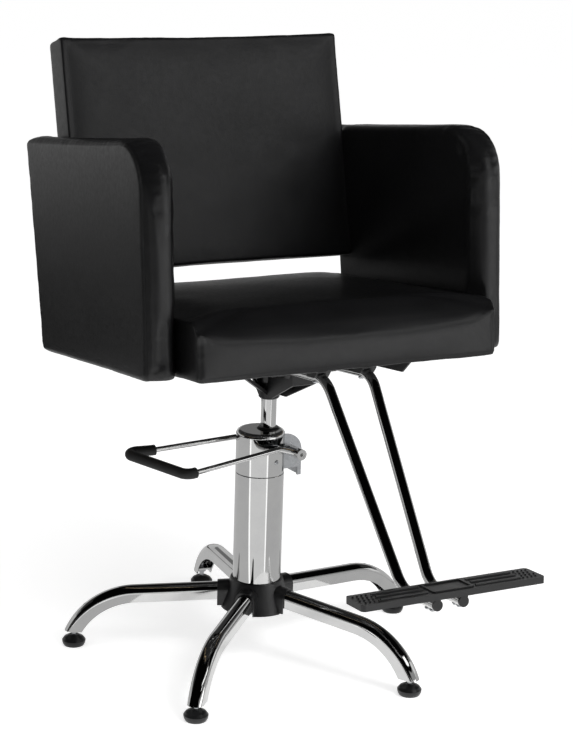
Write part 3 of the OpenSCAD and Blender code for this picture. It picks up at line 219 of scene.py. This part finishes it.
def turned_aluminium():
    # Aluminium bar turned on a lathe: fine rings round the pump's body that catch the light.
    made, tree = new_material("turned_aluminium")
    place = add(tree, "ShaderNodeTexCoord").outputs["Object"]
    # Feed marks are 0.2 mm apart on the real face; they are drawn 1.6 mm apart to show.
    rings = add(tree, "ShaderNodeTexWave", {"Vector": place}, wave_type="BANDS", bands_direction="Z",
                in_Scale=per_mm(1.6) / 20, in_Distortion=0.4, in_Detail=2.0)
    bump = add(tree, "ShaderNodeBump", {"Height": rings.outputs["Fac"]}, in_Strength=0.15, in_Distance=0.0002)
    tone = stops(add(tree, "ShaderNodeValToRGB", {"Fac": rings.outputs["Fac"]}),
                 (0.0, linear("#b9bbbd")), (1.0, linear("#c8cacc")))
    shader = add(tree, "ShaderNodeBsdfPrincipled", {"Base Color": tone.outputs[0], "Normal": bump.outputs[0]},
                 in_Metallic=1.0, in_Roughness=0.3)
    finish_surface(tree, shader)
    return made


def moulded_black(name, low, high, rough, spark):
    # Black moulded plastic or rubber, or powder-coated steel: a low, even gloss with a fine broken skin.
    made, tree = new_material(name)
    place = add(tree, "ShaderNodeTexCoord").outputs["Object"]
    skin = add(tree, "ShaderNodeTexNoise", {"Vector": place}, in_Scale=per_mm(spark), in_Detail=4.0,
               in_Roughness=0.6)
    bump = add(tree, "ShaderNodeBump", {"Height": skin.outputs["Fac"]}, in_Strength=0.25, in_Distance=0.0003)
    wear = add(tree, "ShaderNodeTexNoise", {"Vector": place}, in_Scale=per_mm(38), in_Detail=4.0)
    tone = stops(add(tree, "ShaderNodeValToRGB", {"Fac": wear.outputs["Fac"]}),
                 (0.35, linear(low)), (0.7, linear(high)))
    gloss = add(tree, "ShaderNodeMapRange", {"Value": wear.outputs["Fac"]},
                in_From_Min=0.3, in_From_Max=0.7, in_To_Min=rough - 0.05, in_To_Max=rough + 0.06)
    sources = {"Base Color": tone.outputs[0], "Roughness": gloss.outputs[0], "Normal": bump.outputs[0]}
    shader = add(tree, "ShaderNodeBsdfPrincipled", sources, in_IOR=1.5)
    finish_surface(tree, shader)
    return made


def bronze_washer():
    # Machined bearing bronze: warm metal with patchy tarnish; its turning marks are not drawn.
    made, tree = new_material("bearing_bronze")
    place = add(tree, "ShaderNodeTexCoord").outputs["Object"]
    tarnish = add(tree, "ShaderNodeTexNoise", {"Vector": place}, in_Scale=per_mm(5), in_Detail=4.0)
    tone = stops(add(tree, "ShaderNodeValToRGB", {"Fac": tarnish.outputs["Fac"]}),
                 (0.3, linear("#c08a4a")), (0.7, linear("#9c6a34")))
    shader = add(tree, "ShaderNodeBsdfPrincipled", {"Base Color": tone.outputs[0]},
                 in_Metallic=1.0, in_Roughness=0.35)
    finish_surface(tree, shader)
    return made


def birch_plywood():
    # Sanded birch plywood: pale face veneer with long, faint grain lines.
    made, tree = new_material("birch_plywood_sanded")
    place = add(tree, "ShaderNodeTexCoord").outputs["Object"]
    along = add(tree, "ShaderNodeMapping", {"Vector": place}, in_Scale=(1.0, 0.06, 1.0))
    grain = add(tree, "ShaderNodeTexNoise", {"Vector": along.outputs[0]}, in_Scale=per_mm(6), in_Detail=8.0,
                in_Roughness=0.62, in_Distortion=0.4)
    tone = stops(add(tree, "ShaderNodeValToRGB", {"Fac": grain.outputs["Fac"]}),
                 (0.3, linear("#c9a878")), (0.52, linear("#d8bd92")), (0.75, linear("#b48f5f")))
    bump = add(tree, "ShaderNodeBump", {"Height": grain.outputs["Fac"]}, in_Strength=0.2, in_Distance=0.0003)
    shader = add(tree, "ShaderNodeBsdfPrincipled", {"Base Color": tone.outputs[0], "Normal": bump.outputs[0]},
                 in_Roughness=0.62, in_IOR=1.5)
    finish_surface(tree, shader)
    return made


LEATHERETTE = pvc_leatherette()
FINISHES = {
    "chrome": chrome_plate(),
    "zinc_steel": zinc_plate(),
    "cast_body": turned_aluminium(),
    "black_plastic": moulded_black("black_polypropylene_moulded", "#171718", "#1e1e1f", 0.33, 1.2),
    "black_rubber": moulded_black("black_rubber_sleeve", "#141414", "#1b1b1b", 0.62, 0.9),
    "black_paint": moulded_black("black_powder_coat", "#121213", "#18181a", 0.36, 1.8),
    "bronze": bronze_washer(),
    "plywood": birch_plywood(),
    "black_leather": LEATHERETTE,
}
SLOT_OF = {part["node"]: part["material_slot"] for part in frame["record"]["subparts"]}


def dress(piece, finish):
    if not piece.material_slots:
        piece.data.materials.append(finish)
    for place in piece.material_slots:
        place.material = finish


for name, piece in nodes.items():
    dress(piece, FINISHES[SLOT_OF[name]])


# Upholstery
def arc_from(before, after, steps):
    """Outward directions that turn from one side's to the next one's."""
    a = math.atan2(before[1], before[0])
    turn = (math.atan2(after[1], after[0]) - a) % (2 * math.pi)
    angles = [a + turn * k / steps for k in range(steps + 1)]
    return [np.array((math.cos(angle), math.sin(angle))) for angle in angles]


def outward(corners):
    """Outward direction of each side of an outline."""
    ways = [corners[(i + 1) % len(corners)] - corners[i] for i in range(len(corners))]
    return [np.array((way[1], -way[0])) / np.linalg.norm(way) for way in ways]


def drawn_in(corners, radii, insets):
    """Corners and radii of the outline when each side moves inward by its own inset."""
    outs = outward(corners)
    moved, tight = [], []
    for i, corner in enumerate(corners):
        before, after = outs[i - 1], outs[i]
        lean = before @ after
        slide = before * (lean * insets[i] - insets[i - 1]) + after * (lean * insets[i - 1] - insets[i])
        moved.append(corner + slide / (1 - lean * lean))
        tight.append(radii[i] ** 2 / (radii[i] + max(insets[i], -radii[i] / 2)))
    return moved, tight


class Pad:
    """Outline of a cushion: corners in order, the radius at each, and how far each side is drawn in."""

    def __init__(self, corners, radii, draw, step=0.011, arcs=8):
        self.corners = [np.array(corner, float) for corner in corners]
        self.radii, self.draw, self.arcs = radii, draw, arcs
        ends = zip(self.corners, self.corners[1:] + self.corners[:1])
        self.parts = [max(2, int(np.linalg.norm(b - a) / step)) for a, b in ends]

    def line(self, insets, lifts=(0, 0, 0, 0)):
        """Points round the cushion with each side moved in, each with the height that its side adds."""
        corners, radii = drawn_in(self.corners, self.radii, insets)
        outs = outward(corners)
        mids = [corners[i] - radii[i] * (outs[i - 1] + outs[i]) / (1 + outs[i - 1] @ outs[i])
                for i in range(len(corners))]
        points = []
        for i, out in enumerate(outs):
            j = (i + 1) % len(corners)
            for k, way in enumerate(arc_from(outs[i - 1], out, self.arcs)):
                s = k / self.arcs
                points.append((mids[i] + radii[i] * way, lifts[i - 1] * (1 - s) + lifts[i] * s))
            a, b = mids[i] + radii[i] * out, mids[j] + radii[j] * out
            for k in range(1, self.parts[i]):
                s = k / self.parts[i]
                points.append((a + (b - a) * s - out * self.draw[i] * math.sin(math.pi * s), lifts[i]))
        return points


def times(shares, size):
    return [share * size for share in shares]


FACE_RINGS = 9
EDGE_RINGS = 6
EDGE_TURNS = [math.pi / 2 * k / EDGE_RINGS for k in range(EDGE_RINGS + 1)]
NO_LIFT = (0, 0, 0, 0)


def under_rings(crown, edge, shares):
    """Rings of the under face and its rounded edge: insets, share of the way out, height, side lifts."""
    rings = []
    for k in range(1, FACE_RINGS):
        share = k / FACE_RINGS
        rings.append((times(shares, edge), share, crown * share ** 3, NO_LIFT))
    for a in EDGE_TURNS:
        insets = times(shares, edge * (1 - math.sin(a)))
        rings.append((insets, 1, crown, times(shares, edge * (1 - math.cos(a)))))
    return rings


def top_rings(thick, crown, edge, shares):
    """Rings of a rounded upper edge and a crowned top face."""
    rings = []
    for a in EDGE_TURNS:
        insets = times(shares, edge * (1 - math.cos(a)))
        rings.append((insets, 1, thick - crown, times(shares, -edge * (1 - math.sin(a)))))
    return rings + face_rings(times(shares, edge), thick, crown)


def face_rings(insets, thick, crown):
    shares = [k / FACE_RINGS for k in range(FACE_RINGS - 1, 0, -1)]
    return [(insets, s, thick - crown * s ** 3, NO_LIFT) for s in shares]


def strip_rings(thick, crown, start, shoulders, bulges):
    """Rings of a strip that bulges, then falls to a sewn edge, and of the face beyond it."""
    rings = []
    for u in [k / EDGE_RINGS for k in range(1, EDGE_RINGS + 1)]:
        insets = [fall * u ** 2 - bulge * (1 - u ** 2) for fall, bulge in zip(shoulders, bulges)]
        rings.append((insets, 1, start + (thick - crown - start) * u, NO_LIFT))
    return rings + face_rings(shoulders, thick, crown)


def cushion_mesh(name, pad, middle, rings, thick, place):
    """Closed cushion through its rings; place moves (u, v, w) to the seat's frame."""
    middle = np.array(middle, float)
    points = []
    for insets, out, height, lifts in rings:
        for spot, lift in pad.line(insets, lifts):
            u, v = middle + (spot - middle) * out
            points.append((u, v, height + lift))
    count = len(points) // len(rings)
    faces = []
    for k in range(len(rings) - 1):
        for j in range(count):
            a, b = k * count + j, k * count + (j + 1) % count
            faces.append((a, b, b + count, a + count))
    low, high, last = len(points), len(points) + 1, (len(rings) - 1) * count
    points += [(middle[0], middle[1], 0.0), (middle[0], middle[1], thick)]
    for j in range(count):
        faces.append((low, (j + 1) % count, j))
        faces.append((high, last + j, last + (j + 1) % count))
    mesh = bpy.data.meshes.new(name)
    mesh.from_pydata([tuple(place @ Vector(p)) for p in points], [], faces)
    mesh.update()
    piece = bpy.data.objects.new(name, mesh)
    bpy.context.collection.objects.link(piece)
    return piece


def settle(piece):
    """Makes what the modifiers give the piece's own mesh."""
    seen = piece.evaluated_get(bpy.context.evaluated_depsgraph_get())
    made = bpy.data.meshes.new_from_object(seen)
    piece.modifiers.clear()
    piece.data = made


def places_of(piece):
    flat = np.empty(len(piece.data.vertices) * 3)
    piece.data.vertices.foreach_get("co", flat)
    return flat.reshape(-1, 3)


def normals_of(piece):
    flat = np.empty(len(piece.data.vertices) * 3)
    piece.data.vertices.foreach_get("normal", flat)
    return flat.reshape(-1, 3)


def set_places(piece, places):
    piece.data.vertices.foreach_set("co", places.ravel())
    piece.data.update()


def remesh(piece, size):
    shape = piece.modifiers.new("even_mesh", "REMESH")
    shape.mode = "VOXEL"
    shape.voxel_size = size
    settle(piece)


def samples(path, closed, gap=0.002):
    """Even points on a path of corners, with the distance along it."""
    path = [Vector(p) for p in path]
    if closed:
        path.append(path[0])
    made, run = [], 0.0
    for a, b in zip(path, path[1:]):
        parts = max(1, int((b - a).length / gap))
        for k in range(parts):
            made.append((a.lerp(b, k / parts), run + (b - a).length * k / parts))
        run += (b - a).length
    return made


def near(places, paths, reach):
    """For each vertex within reach of the paths: index, distance and place along the path."""
    points = [s for path, closed in paths for s in samples(path, closed)]
    tree = KDTree(len(points))
    for i, (p, run) in enumerate(points):
        tree.insert(p, i)
    tree.balance()
    found = []
    for i, p in enumerate(places):
        spot, j, far = tree.find(p)
        if far < reach:
            found.append((i, far, points[j][1]))
    return found


HELD_REACH = 0.006
CLOTH_STEPS = 20


def stuff(pieces):
    """Blows the cushions up as stuffed covers, held at their seams, and caps how far the cover moves."""
    starts = {}
    for piece, seams, cap in pieces:
        starts[piece.name] = places_of(piece)
        held = piece.vertex_groups.new(name="held")
        for i, far, run in near(starts[piece.name], seams, HELD_REACH):
            held.add([i], 1.0, "ADD")
        cover = piece.modifiers.new("cover", "CLOTH")
        cover.settings.quality = 4
        cover.settings.mass = 0.35
        cover.settings.tension_stiffness = 12
        cover.settings.compression_stiffness = 12
        cover.settings.shear_stiffness = 4
        cover.settings.bending_stiffness = 1.2
        cover.settings.use_pressure = True
        cover.settings.uniform_pressure_force = 4
        cover.settings.vertex_group_mass = "held"
        cover.settings.effector_weights.gravity = 0
        cover.collision_settings.use_collision = False
        cover.point_cache.frame_start, cover.point_cache.frame_end = 1, CLOTH_STEPS
    for step in range(1, CLOTH_STEPS + 1):
        bpy.context.scene.frame_set(step)
    for piece, seams, cap in pieces:
        settle(piece)
        start = starts[piece.name]
        moved = places_of(piece) - start
        size = np.linalg.norm(moved, axis=1, keepdims=True) + 1e-9
        set_places(piece, start + moved / size * cap * np.tanh(size / cap))
        piece.vertex_groups.clear()
    bpy.context.scene.frame_set(1)


def finer(piece):
    shape = piece.modifiers.new("finer", "SUBSURF")
    shape.levels = shape.render_levels = 1
    settle(piece)


def sew(piece, seams, depth=0.0013, width=0.0026, pucker=0.00022):
    """Draws the cover in along its seams and puckers it unevenly beside them."""
    places, ways = places_of(piece), normals_of(piece)
    for i, far, run in near(places, seams, 0.03):
        groove = depth * math.exp(-(far / width) ** 2)
        gather = noise.noise(Vector((run * 70, 3.1, 0))) + 0.7 * noise.noise(Vector((run * 160, 7.7, 0)))
        fold = pucker * 2 * gather * math.exp(-far / 0.009) * min(1, far / 0.004)
        places[i] -= ways[i] * (groove - fold)
    set_places(piece, places)


def swell(piece, path, way, height, width):
    """Rolls the cover out in one direction along a path."""
    places = places_of(piece)
    for i, far, run in near(places, [(path, False)], 3 * width):
        places[i] += np.array(way) * (height * math.exp(-(far / width) ** 2))
    set_places(piece, places)


def round_front(piece, side, height, deep):
    """Rounds an arm's front across its width, fading out over a depth behind the front."""
    places = places_of(piece)
    across = (places[:, 0] - side * (ARM_OUT - ARM_THICK / 2)) / (ARM_THICK / 2)
    front = -ARM_FRONT - ARM_LEAN_FRONT * places[:, 2] / ARM_TOP
    near_front = np.clip((front + deep - places[:, 1]) / deep, 0, 1)
    near_front = near_front ** 2 * (3 - 2 * near_front)
    places[:, 1] -= height * np.clip(1 - across ** 2, 0, 1) * near_front
    set_places(piece, places)


def crease(piece, path, height, width):
    """Raises a soft fold along a path, highest at its start."""
    places, ways = places_of(piece), normals_of(piece)
    whole = sum((Vector(b) - Vector(a)).length for a, b in zip(path, path[1:]))
    for i, far, run in near(places, [(path, False)], 3 * width):
        places[i] += ways[i] * (height * (1 - 0.8 * run / whole) * math.exp(-(far / width) ** 2))
    set_places(piece, places)


def crumple(piece, size, swing, seed):
    """Gentle uneven tension over the whole cover."""
    places, ways = places_of(piece), normals_of(piece)
    for i, p in enumerate(places):
        v = Vector(p) / size + Vector((seed, 2.3 * seed, 0))
        places[i] += ways[i] * (swing * (noise.noise(v) + 0.45 * noise.noise(v * 2.3)))
    set_places(piece, places)


def pull(piece, spot, way, reach, far):
    """Pulls the cover out or in at one spot, as at a sewn corner."""
    places = places_of(piece)
    away = np.linalg.norm(places - np.array(spot), axis=1)
    places += np.array(way)[None, :] * (reach * np.exp(-(away / far) ** 2))[:, None]
    set_places(piece, places)


def keep_within(piece, low, high, soft=0.004):
    """Eases the cover back inside the space that it has, in the seat's frame."""
    places = places_of(piece)
    for axis in range(3):
        if low[axis] is not None:
            over = low[axis] + soft - places[:, axis]
            eased = low[axis] + soft * np.exp(-np.maximum(over, 0) / soft)
            places[:, axis] = np.where(over > 0, eased, places[:, axis])
        if high[axis] is not None:
            over = places[:, axis] - (high[axis] - soft)
            eased = high[axis] - soft * np.exp(-np.maximum(over, 0) / soft)
            places[:, axis] = np.where(over > 0, eased, places[:, axis])
    set_places(piece, places)


def place_cushion(piece, home, stands_for):
    piece.data.transform(home)
    piece.data.update()
    for face in piece.data.polygons:
        face.use_smooth = True
    dress(piece, LEATHERETTE)
    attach(piece, "seat")
    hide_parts(stands_for)


def seat_shape():
    h, f, b = SEAT_HALF - 0.0002, SEAT_FRONT, SEAT_BACK - SHRINK
    pad = Pad([(-h, -f), (h, -f), (h, b), (-h, b)], [CUSHION_CORNER] * 4, [0.0015, 0, 0.0015, 0])
    thick = SEAT_THICK + WRAP
    rings = under_rings(0, 0.003, (1, 1, 1, 1)) + top_rings(thick, 0.003, SEAT_EDGE, SEAT_SHARES)
    under_board = Matrix.Translation((0, 0, -WRAP))
    piece = cushion_mesh("seat_cushion_cover", pad, (0, (b - f) / 2), rings, thick, under_board)
    remesh(piece, 0.0048)
    side, front, top = h - 0.003, f - 0.001, SEAT_THICK - 0.011
    seams = []
    for x in (-side, side):
        seams.append(([(x, b - 0.02, top), (x, -f + 0.036, top), (x * 0.99, -f + 0.010, top - 0.012)], False))
        seams.append(([(x * 0.985, -front, top - 0.016), (x * 0.99, -front, 0.004)], False))
    seams.append(([(-side, -front, 0.001), (side, -front, 0.001), (side, b, 0.001), (-side, b, 0.001)], True))
    return piece, seams


ARM_SHOULDERS = (0.001, 0, 0.011, 0.005)
ARM_BULGES = (0, 0.001, 0, 0.010)


def arm_shape(side):
    top = ARM_TOP - SHRINK
    corners = [(-ARM_FRONT, ARM_FOOT - WRAP), (ARM_BACK, ARM_FOOT - WRAP),
               (ARM_BACK + ARM_LEAN_BACK, top - (ARM_LEAN_BACK - ARM_LEAN_FRONT) * 0.2),
               (-ARM_FRONT - ARM_LEAN_FRONT, top)]
    radii = [ARM_SMALL_CORNER, ARM_SMALL_CORNER, ARM_SMALL_CORNER * 0.7, ARM_CORNER]
    pad = Pad(corners, radii, [0.001, 0.0015, 0.0015, 0])
    inner = ARM_OUT - ARM_THICK
    outward_to = Matrix(((0, 0, side, side * inner), (1, 0, 0, 0), (0, 1, 0, 0), (0, 0, 0, 1)))
    rings = under_rings(0.0005, ARM_EDGE, ARM_SHARES)
    for from_end, share in ((1, 1), (2, 0.5), (3, 0.25)):
        insets, *rest = rings[-from_end]
        rings[-from_end] = ([inset - share * bulge for inset, bulge in zip(insets, ARM_BULGES)], *rest)
    rings += strip_rings(ARM_THICK + 0.001, -0.001, 0.001 + ARM_EDGE, ARM_SHOULDERS, ARM_BULGES)
    name = "arm_cover_" + ("left" if side < 0 else "right")
    middle = ((ARM_BACK - ARM_FRONT) / 2, ARM_TOP / 2)
    piece = cushion_mesh(name, pad, middle, rings, ARM_THICK + 0.001, outward_to)
    if side < 0:
        piece.data.flip_normals()
    remesh(piece, 0.0044)
    sewn = [outward_to @ Vector((*spot, ARM_THICK)) for spot, lift in pad.line(ARM_SHOULDERS)]
    roll = [outward_to @ Vector((*spot, 0.006)) for spot, lift in pad.line((0, 0, 0.006, 0.002))]
    return piece, [(sewn, True)], [p for p in roll if p.z > SEAT_THICK + 0.02 and p.y < ARM_BACK - 0.03]


def back_shape():
    h = SEAT_HALF
    corners = [(-h, -WRAP / 2), (h, -WRAP / 2), (h, BACK_HIGH), (-h, BACK_HIGH)]
    pad = Pad(corners, [CUSHION_CORNER / 2] * 4, [0.0015, 0, 0.003, 0])
    thick = BACK_THICK
    rings = under_rings(0.003, BACK_REAR_EDGE, (1, 1, 1, 1)) + top_rings(thick, 0.002, BACK_EDGE, BACK_SHARES)
    stand = Matrix.Translation((0, BACK_THICK, 0)) @ Matrix.Rotation(math.radians(90), 4, "X")
    piece = cushion_mesh("backrest_cover", pad, (0, BACK_HIGH / 2), rings, thick, stand)
    remesh(piece, 0.0048)
    seams = []
    for height in (0.008, thick - 0.006):
        seams.append(([stand @ Vector((*spot, height)) for spot, lift in pad.line((0.0005,) * 4)], True))
    edges = []
    for x, out in ((-h, -1), (h, 1)):
        edges.append(([(x, 0.002, 0.0), (x, 0.002, BACK_HIGH)], (out * 0.5, -0.8, 0)))
        edges.append(([(x, BACK_THICK, 0.0), (x, BACK_THICK, BACK_HIGH)], (out * 0.3, 0.7, 0)))
    edges.append(([(-h, 0.004, BACK_HIGH), (h, 0.004, BACK_HIGH)], (0, -0.3, 0.2)))
    return piece, seams, edges


SEAT_PUFF = 0.006
ARM_PUFF = 0.004
BACK_PUFF = 0.0035
ROLL_HEIGHT = 0.005
ROLL_WIDTH = 0.020
FRONT_ROUND = 0.008
FRONT_DEPTH = 0.060

seat_cover, seat_seams = seat_shape()
arm_left, arm_left_seams, arm_left_roll = arm_shape(-1)
arm_right, arm_right_seams, arm_right_roll = arm_shape(1)
back_cover, back_seams, back_edges = back_shape()
stuff([(seat_cover, seat_seams, SEAT_PUFF), (arm_left, arm_left_seams, ARM_PUFF),
       (arm_right, arm_right_seams, ARM_PUFF), (back_cover, back_seams, BACK_PUFF)])
for piece in (seat_cover, arm_left, arm_right, back_cover):
    finer(piece)
for path, way in back_edges:
    swell(back_cover, path, way, 0.0035, 0.007)
swell(arm_left, arm_left_roll, (1, 0, 0), ROLL_HEIGHT, ROLL_WIDTH)
swell(arm_right, arm_right_roll, (-1, 0, 0), ROLL_HEIGHT, ROLL_WIDTH)
round_front(arm_left, -1, FRONT_ROUND, FRONT_DEPTH)
round_front(arm_right, 1, FRONT_ROUND, FRONT_DEPTH)
sew(seat_cover, seat_seams)
sew(arm_left, arm_left_seams, depth=0.0009)
sew(arm_right, arm_right_seams, depth=0.0009)
sew(back_cover, back_seams, depth=0.0006)
crumple(seat_cover, 0.085, 0.0010, 3.1)
crumple(arm_left, 0.075, 0.0005, 5.7)
crumple(arm_right, 0.075, 0.0005, 8.2)
crumple(back_cover, 0.09, 0.0009, 11.4)
FRONT = -SEAT_FRONT + 0.001
for x in (-1, 1):
    seat_corner = (x * (SEAT_HALF - 0.006), -SEAT_FRONT, SEAT_THICK - 0.026)
    pull(seat_cover, seat_corner, (x * 0.2, -0.9, 0.4), 0.0030, 0.008)
    pull(back_cover, (x * SEAT_HALF, 0.012, BACK_HIGH), (x * 0.4, 0, 0.9), 0.0015, 0.012)
    long_fold = [(x * 0.243, FRONT, 0.066), (x * 0.222, FRONT, 0.056), (x * 0.200, FRONT, 0.046)]
    crease(seat_cover, long_fold, 0.0012, 0.004)
    crease(seat_cover, [(x * 0.232, FRONT, 0.068), (x * 0.228, FRONT, 0.050)], 0.0007, 0.003)
keep_within(seat_cover, (-SEAT_HALF, -SEAT_FRONT - 0.004, None),
            (SEAT_HALF, SEAT_BACK + 0.003, SEAT_THICK + 0.006))
keep_within(arm_left, (-ARM_OUT - 0.004, None, None), (-ARM_OUT + ARM_THICK + 0.005, None, None))
keep_within(arm_right, (ARM_OUT - ARM_THICK - 0.005, None, None), (ARM_OUT + 0.004, None, None))
keep_within(back_cover, (-SEAT_HALF, None, None), (SEAT_HALF, None, None))
place_cushion(seat_cover, SEAT, "seat_cushion")
place_cushion(arm_left, SEAT, "arm_pad_left")
place_cushion(arm_right, SEAT, "arm_pad_right")
place_cushion(back_cover, BACK, "backrest")


# Studio
def looked_at(tree):
    """One for rays from the camera, mirrors and glass, which are to see white, and nothing for soft light."""
    path = add(tree, "ShaderNodeLightPath")
    seen = add(tree, "ShaderNodeMath", {0: path.outputs["Is Camera Ray"], 1: path.outputs["Is Glossy Ray"]},
               operation="MAXIMUM")
    return add(tree, "ShaderNodeMath", {0: seen.outputs[0], 1: path.outputs["Is Transmission Ray"]},
               operation="MAXIMUM")


def floor_finish():
    # White paper sweep: it shows white to the camera and in reflections, and keeps the chair's soft shadow.
    made, tree = new_material("white_paper_floor")
    seen = looked_at(tree)
    paper = add(tree, "ShaderNodeBsdfDiffuse", in_Color=linear("#e6e6e6"))
    glow = add(tree, "ShaderNodeEmission", {"Strength": seen.outputs[0]}, in_Color=(0.60, 0.60, 0.60, 1))
    both = add(tree, "ShaderNodeAddShader", {0: paper.outputs[0], 1: glow.outputs[0]})
    finish_surface(tree, both)
    return made


def flat_sheet(name, corners, finish):
    mesh = bpy.data.meshes.new(name)
    mesh.from_pydata(corners, [], [tuple(range(len(corners)))])
    sheet = bpy.data.objects.new(name, mesh)
    bpy.context.collection.objects.link(sheet)
    dress(sheet, finish)
    return sheet


def card_finish(name, code, strength=1.0):
    made, tree = new_material(name)
    glow = add(tree, "ShaderNodeEmission", in_Color=linear(code), in_Strength=strength)
    finish_surface(tree, glow)
    return made


def only_in_reflections(card):
    card.visible_camera = False
    card.visible_diffuse = False
    card.visible_shadow = False
    card.visible_transmission = False
    card.visible_volume_scatter = False


def bent_card(name, start, end, inner, outer, finish):
    """Card round the chair between two bearings and two rims (radius, height), for reflections only."""
    steps = 24
    points, faces = [], []
    for k in range(steps + 1):
        a = math.radians(start + (end - start) * k / steps)
        for far, high in (inner, outer):
            points.append((far * math.sin(a), -far * math.cos(a), high))
    for k in range(steps):
        faces.append((2 * k, 2 * k + 2, 2 * k + 3, 2 * k + 1))
    mesh = bpy.data.meshes.new(name)
    mesh.from_pydata(points, [], faces)
    card = bpy.data.objects.new(name, mesh)
    bpy.context.collection.objects.link(card)
    dress(card, finish)
    only_in_reflections(card)
    return card


def soft_lamp(name, bearing, rise, far, wide, high, power, aim=(0, 0.05, 0.55)):
    lamp = bpy.data.lights.new(name, "AREA")
    lamp.shape = "RECTANGLE"
    lamp.size, lamp.size_y = wide, high
    lamp.energy = power
    holder = bpy.data.objects.new(name, lamp)
    a, e = math.radians(bearing), math.radians(rise)
    back = Vector((math.sin(a) * math.cos(e), -math.cos(a) * math.cos(e), math.sin(e)))
    holder.location = Vector(aim) + back * far
    holder.rotation_mode = "QUATERNION"
    holder.rotation_quaternion = (-back).to_track_quat("-Z", "Y")
    holder.visible_glossy = False
    bpy.context.collection.objects.link(holder)
    return holder


flat_sheet("floor_sheet", [(-20, -20, 0), (20, -20, 0), (20, 20, 0), (-20, 20, 0)], floor_finish())
BLACK_CARD = card_finish("black_card", "#050505")
DARK_CARD = card_finish("dark_card", "#3a3a3a")
DIM_CARD = card_finish("dim_card", "#7c7c7c")
DUSK_CARD = card_finish("dusk_card", "#a8a8a8")
GREY_CARD = card_finish("grey_card", "#d2d2d2")
PALE_CARD = card_finish("pale_card", "#d0d0d0")
WHITE_CARD = card_finish("white_card", "#f8f8f8")
GLOW_CARD = card_finish("glow_card", "#ffffff", 1.8)
KEY_CARD = card_finish("key_card", "#ffffff", 1.9)
FRONT_KEY_CARD = card_finish("front_key_card", "#ffffff", 2.7)
WALL = 4.4
CEILING = 3.4
NEAR = 0.3
MIDDLE = 1.62
LOW_KEY_FAR = WALL - 0.3
HIGH_KEY_FAR = 3.2
# Walls: bearing, then low and high edge
for name, start, end, low, high, finish in (
        ("card_front_left_low", -110, -20, 0.0, 0.8, DARK_CARD),
        ("card_front_right_low", -20, 85, 0.0, 0.8, PALE_CARD),
        ("card_front_right_middle", 0, 70, 0.8, 1.9, DUSK_CARD),
        ("card_front_left_high", -110, 0, 0.8, CEILING, BLACK_CARD),
        ("card_front_right_high", 0, 85, 1.9, CEILING, BLACK_CARD),
        ("card_far_low", 85, 250, 0.0, 1.4, GREY_CARD),
        ("card_far_middle", 85, 250, 1.4, 1.9, DIM_CARD),
        ("card_far_high", 85, 250, 1.9, CEILING, DARK_CARD)):
    bent_card(name, start, end, (WALL, low), (WALL, high), finish)
# Floor: bearing, then near and far rim
for name, start, end, near_rim, far_rim, rise, finish in (
        ("card_floor_left", -207, -82, NEAR, MIDDLE, 0.0010, GREY_CARD),
        ("card_floor_middle", -82, 15, NEAR, MIDDLE, 0.0010, WHITE_CARD),
        ("card_floor_right", 15, 153, NEAR, MIDDLE, 0.0010, PALE_CARD),
        ("card_floor_streak_left", -80.5, -74, NEAR, WALL, 0.0016, GLOW_CARD),
        ("card_floor_streak_right", 7, 13.5, NEAR, WALL, 0.0016, GLOW_CARD),
        ("card_floor_shade_left", -220, -85, MIDDLE, WALL, 0.0010, BLACK_CARD),
        ("card_floor_shade_right", 40, 140, MIDDLE, WALL, 0.0010, DUSK_CARD)):
    bent_card(name, start, end, (near_rim, rise), (far_rim, rise), finish)
bent_card("card_key_low", 16, 50, (LOW_KEY_FAR, 0.25), (LOW_KEY_FAR, 1.0), FRONT_KEY_CARD)
bent_card("card_key_high", 8, 50, (HIGH_KEY_FAR, 1.9), (HIGH_KEY_FAR, 2.9), KEY_CARD)
ceiling_corners = [(x * WALL, y * WALL, CEILING) for x, y in ((-1, -1), (1, -1), (1, 1), (-1, 1))]
overhead = flat_sheet("card_overhead", ceiling_corners, BLACK_CARD)
only_in_reflections(overhead)
soft_lamp("key_lamp", 28, 46, 3.2, 1.3, 1.3, 46)
soft_lamp("top_lamp", -60, 72, 2.4, 1.0, 1.0, 9)

world = bpy.data.worlds.new("studio")
bpy.context.scene.world = world
world.use_nodes = True
world.node_tree.nodes.clear()
room = world.node_tree
seen = looked_at(room)
fill = add(room, "ShaderNodeBackground", in_Color=(0.5, 0.5, 0.5, 1), in_Strength=1.0)
white = add(room, "ShaderNodeBackground", in_Color=(1, 1, 1, 1), in_Strength=1.0)
mixed = add(room, "ShaderNodeMixShader", {0: seen.outputs[0], 1: fill.outputs[0], 2: white.outputs[0]})
add(room, "ShaderNodeOutputWorld", {"Surface": mixed.outputs[0]})
bpy.context.scene.view_settings.view_transform = "Standard"
